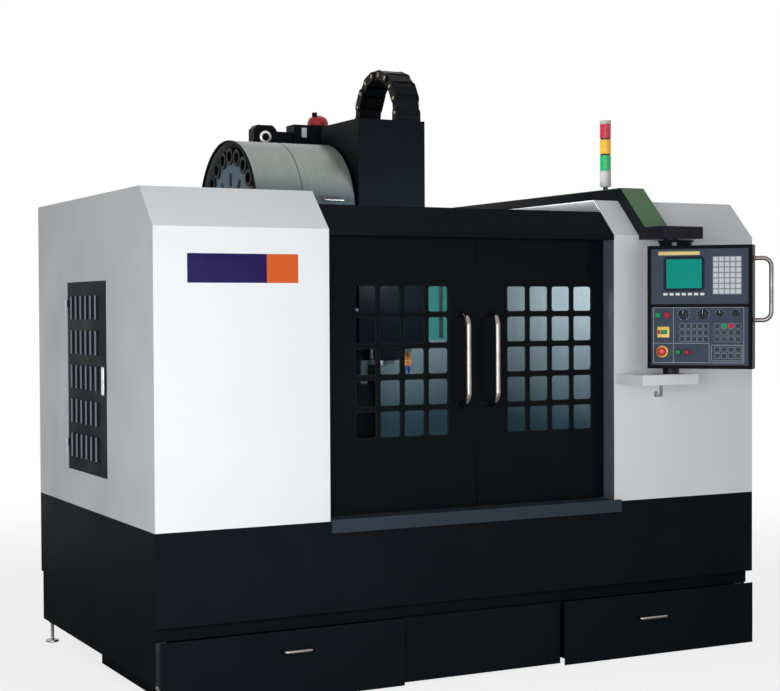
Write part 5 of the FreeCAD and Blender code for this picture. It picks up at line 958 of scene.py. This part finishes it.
# Rotary switches: black moulded knobs with a raised grip, a white pointer line, and a ring
# of printed marks round each.
knob_black = moulded("black_moulded_knob", "0E1014", "181B20", 0.38, 1.0, 0.15)
white_ink = moulded("white_printed_ink", "C9CED6", "D6DAE0", 0.5, 1.0)
KNOBS = {"feed_dial": (64, 1449, 19, 150, 16), "spindle_dial": (144, 1449, 19, 120, 9),
         "mode_knob": (212, 1453, 12, 60, 4)}
SKIRT_HIGH, GRIP_FOOT, POINTER_FOOT, MARK_GAP, MARK_LONG = 8.4, 8.2, 17.6, 3, 4


def marks(x, z, radius, sweep, count):
    """Short bars printed round a knob, evenly spread over its sweep each way."""
    bar = plate(1.3, MARK_LONG, corner=0.5, thick=0.3, edge=0.1)
    bar = bar + [0, radius + MARK_GAP + MARK_LONG / 2, 0]
    return copies(bar, np.radians(np.linspace(-sweep, sweep, count)), np.array([(x, z, 0)]))


for body, (x, z, radius, sweep, count) in KNOBS.items():
    skirt = [(4, -8), (4, 0.5), (radius, 0.5), (radius, 6.5), (radius - 1, 8),
             (radius - 3, SKIRT_HIGH), (1, SKIRT_HIGH)]
    knob = fit(body + "_knob", turned(skirt, steps=36) + [x, z, 0], knob_black, body)
    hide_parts(body)
    grip = plate(9, radius * 2 - 3, corner=4, thick=9.5, edge=1.5)
    fit(body + "_grip", grip + [x, z, GRIP_FOOT], knob_black, body)
    pointer = plate(1.6, radius - 3, corner=0.6, thick=0.4, edge=0.1)
    fit(body + "_pointer", pointer + [x, z + radius / 2, POINTER_FOOT], white_ink, body)
    fit(body + "_marks", marks(x, z, radius, sweep, count), white_ink)
SELECTOR, SELECTOR_RADIUS = (275, 1453), 12
selector = [(SELECTOR_RADIUS, 0), (SELECTOR_RADIUS, 6.5), (11, 8), (9, SKIRT_HIGH),
            (1, SKIRT_HIGH)]
fit("selector_knob", turned(selector) + [*SELECTOR, 0], knob_black)
fit("selector_grip", plate(7, 21, corner=3, thick=6, edge=1.2) + [*SELECTOR, GRIP_FOOT],
    knob_black)
fit("selector_marks", marks(*SELECTOR, SELECTOR_RADIUS, sweep=60, count=4), white_ink)

# A small lamp block with a yellow surround and a green and a red lens, between power and stop.
fit("lamp_surround", flat(-43, 6, 1354, 1398, thick=1, corner=2), stop_yellow)
# Its lenses carry the caps' painted glow.
LAMP_LEVEL, LAMP_TALL = 1376, 18
for name, wide, across, material, slot in (("lamp_lens", 26, -16, green_cap, "key_green"),
                                           ("lamp_lens_red", 10, -36, red_cap, "key_red")):
    fit(name, plate(wide, LAMP_TALL, corner=2, thick=3, edge=0.8) + [across, LAMP_LEVEL, 0],
        material)

# ------------------------------------------------------------------ floor, light and camera
# A pale floor that fades into the white of the room, a broad lamp in front on the left, a
# broader, weaker one straight in front, one above, and the room's own even light.
FLOOR_RADIUS, FLOOR_STEPS = 9.0, 96
turn = np.linspace(0, 2 * np.pi, FLOOR_STEPS, endpoint=False)
rim_points = FLOOR_RADIUS * np.stack([np.cos(turn), np.sin(turn), turn * 0], -1)
floor_mesh = bpy.data.meshes.new("floor")
floor_mesh.from_pydata(rim_points.tolist(), [], [list(range(FLOOR_STEPS))])
floor = bpy.data.objects.new("floor", floor_mesh)
bpy.context.scene.collection.objects.link(floor)
FADE_START, FADE_END = 2.2, 6.5


def floor_of(tree, where):
    """Matt white floor that keeps shadows near the machine and fades out to the room's white
    with the distance from its middle."""
    far = add(tree, "VectorMath", {0: where}, operation="LENGTH").outputs["Value"]
    fade = add(tree, "MapRange", {"Value": far, "From Min": FADE_START, "From Max": FADE_END},
               interpolation_type="SMOOTHSTEP").outputs["Result"]
    seen = add(tree, "LightPath").outputs["Is Camera Ray"]
    matt = add(tree, "BsdfDiffuse", {"Color": linear("F2F2F2")}).outputs["BSDF"]
    glow = add(tree, "Emission", {"Color": (1, 1, 1, 1), "Strength": seen}).outputs["Emission"]
    lifted = add(tree, "MixShader", {"Fac": 0.8, 1: matt, 2: glow}).outputs["Shader"]
    clear = add(tree, "BsdfTransparent").outputs["BSDF"]
    shown = add(tree, "MixShader", {"Fac": seen, 1: matt, 2: lifted}).outputs["Shader"]
    return add(tree, "MixShader", {"Fac": fade, 1: shown, 2: clear})


floor_mesh.materials.append(finish("pale_matt_floor", floor_of))

ROOM_LIGHT = 0.26
world = bpy.data.worlds.new("white_room")
bpy.context.scene.world = world
world.use_nodes = True
room_tree = world.node_tree
room_tree.nodes.clear()
path_of = add(room_tree, "LightPath").outputs
direct = add(room_tree, "Math", {0: path_of["Is Camera Ray"], 1: path_of["Is Glossy Ray"]},
             operation="MAXIMUM").outputs[0]
white = add(room_tree, "Math", {0: direct, 1: path_of["Is Transmission Ray"]},
            operation="MAXIMUM").outputs[0]
strength = add(room_tree, "MapRange", {"Value": white, "To Min": ROOM_LIGHT,
                                       "To Max": 1.0}).outputs["Result"]
room = add(room_tree, "Background", {"Color": (1, 1, 1, 1), "Strength": strength})
add(room_tree, "OutputWorld", {"Surface": room.outputs["Background"]})


def lamp(name, place, aim, size, power):
    """A square soft lamp at a place, turned to face its aim."""
    light = bpy.data.lights.new(name, "AREA")
    light.shape = "SQUARE"
    light.size = size
    light.energy = power
    holder = bpy.data.objects.new(name, light)
    holder.location = place
    holder.rotation_euler = (Vector(aim) - Vector(place)).to_track_quat("-Z", "Y").to_euler()
    bpy.context.scene.collection.objects.link(holder)


lamp("front_lamp", (-2.1, -3.4, 1.3), aim=(-1.1, -0.7, 1.2), size=1.4, power=60)
lamp("right_lamp", (0.1, -5.0, 1.5), aim=(0.8, -0.7, 1.2), size=2.5, power=30)
lamp("top_lamp", (0.2, 0.6, 5.5), aim=(0, 0, 1), size=3.0, power=14)

# The machine's own work lamp lights the chamber from under its roof.
WORK_LAMP_PLACE = (1500, 350, 1660)
work = bpy.data.lights.new("work_lamp", "POINT")
work.energy = 23
work.shadow_soft_size = 0.08
work_lamp = bpy.data.objects.new("work_lamp", work)
work_lamp.location = lay((0, 0, 0), WORK_LAMP_PLACE)
bpy.context.scene.collection.objects.link(work_lamp)

# The camera stands where the photographer stood, in front on the left at eye height, and
# its lens gives the photograph's angle of view.
CAMERA_PLACE = (-3.2842, -6.27715, 1.4734)
YAW, PITCH, ROLL = math.radians(27.368), math.radians(-1.2745), math.radians(-0.264)
FOCAL_PIXELS, PHOTO_WIDTH, SENSOR = 1612.28, 780, 36.0
ahead = Vector((math.sin(YAW) * math.cos(PITCH), math.cos(YAW) * math.cos(PITCH),
                math.sin(PITCH)))
level_right = Vector((math.cos(YAW), -math.sin(YAW), 0))
level_up = level_right.cross(ahead)
right = level_right * math.cos(ROLL) + level_up * math.sin(ROLL)
up = level_up * math.cos(ROLL) - level_right * math.sin(ROLL)
turn_of = Matrix((right, up, -ahead)).transposed().to_4x4()
eye = bpy.data.cameras.new("camera")
eye.sensor_fit = "HORIZONTAL"
eye.sensor_width = SENSOR
eye.lens = FOCAL_PIXELS / PHOTO_WIDTH * SENSOR
camera = bpy.data.objects.new("camera", eye)
camera.matrix_world = Matrix.Translation(CAMERA_PLACE) @ turn_of
bpy.context.scene.collection.objects.link(camera)
bpy.context.scene.camera = camera
bpy.context.scene.view_settings.view_transform = "Standard"
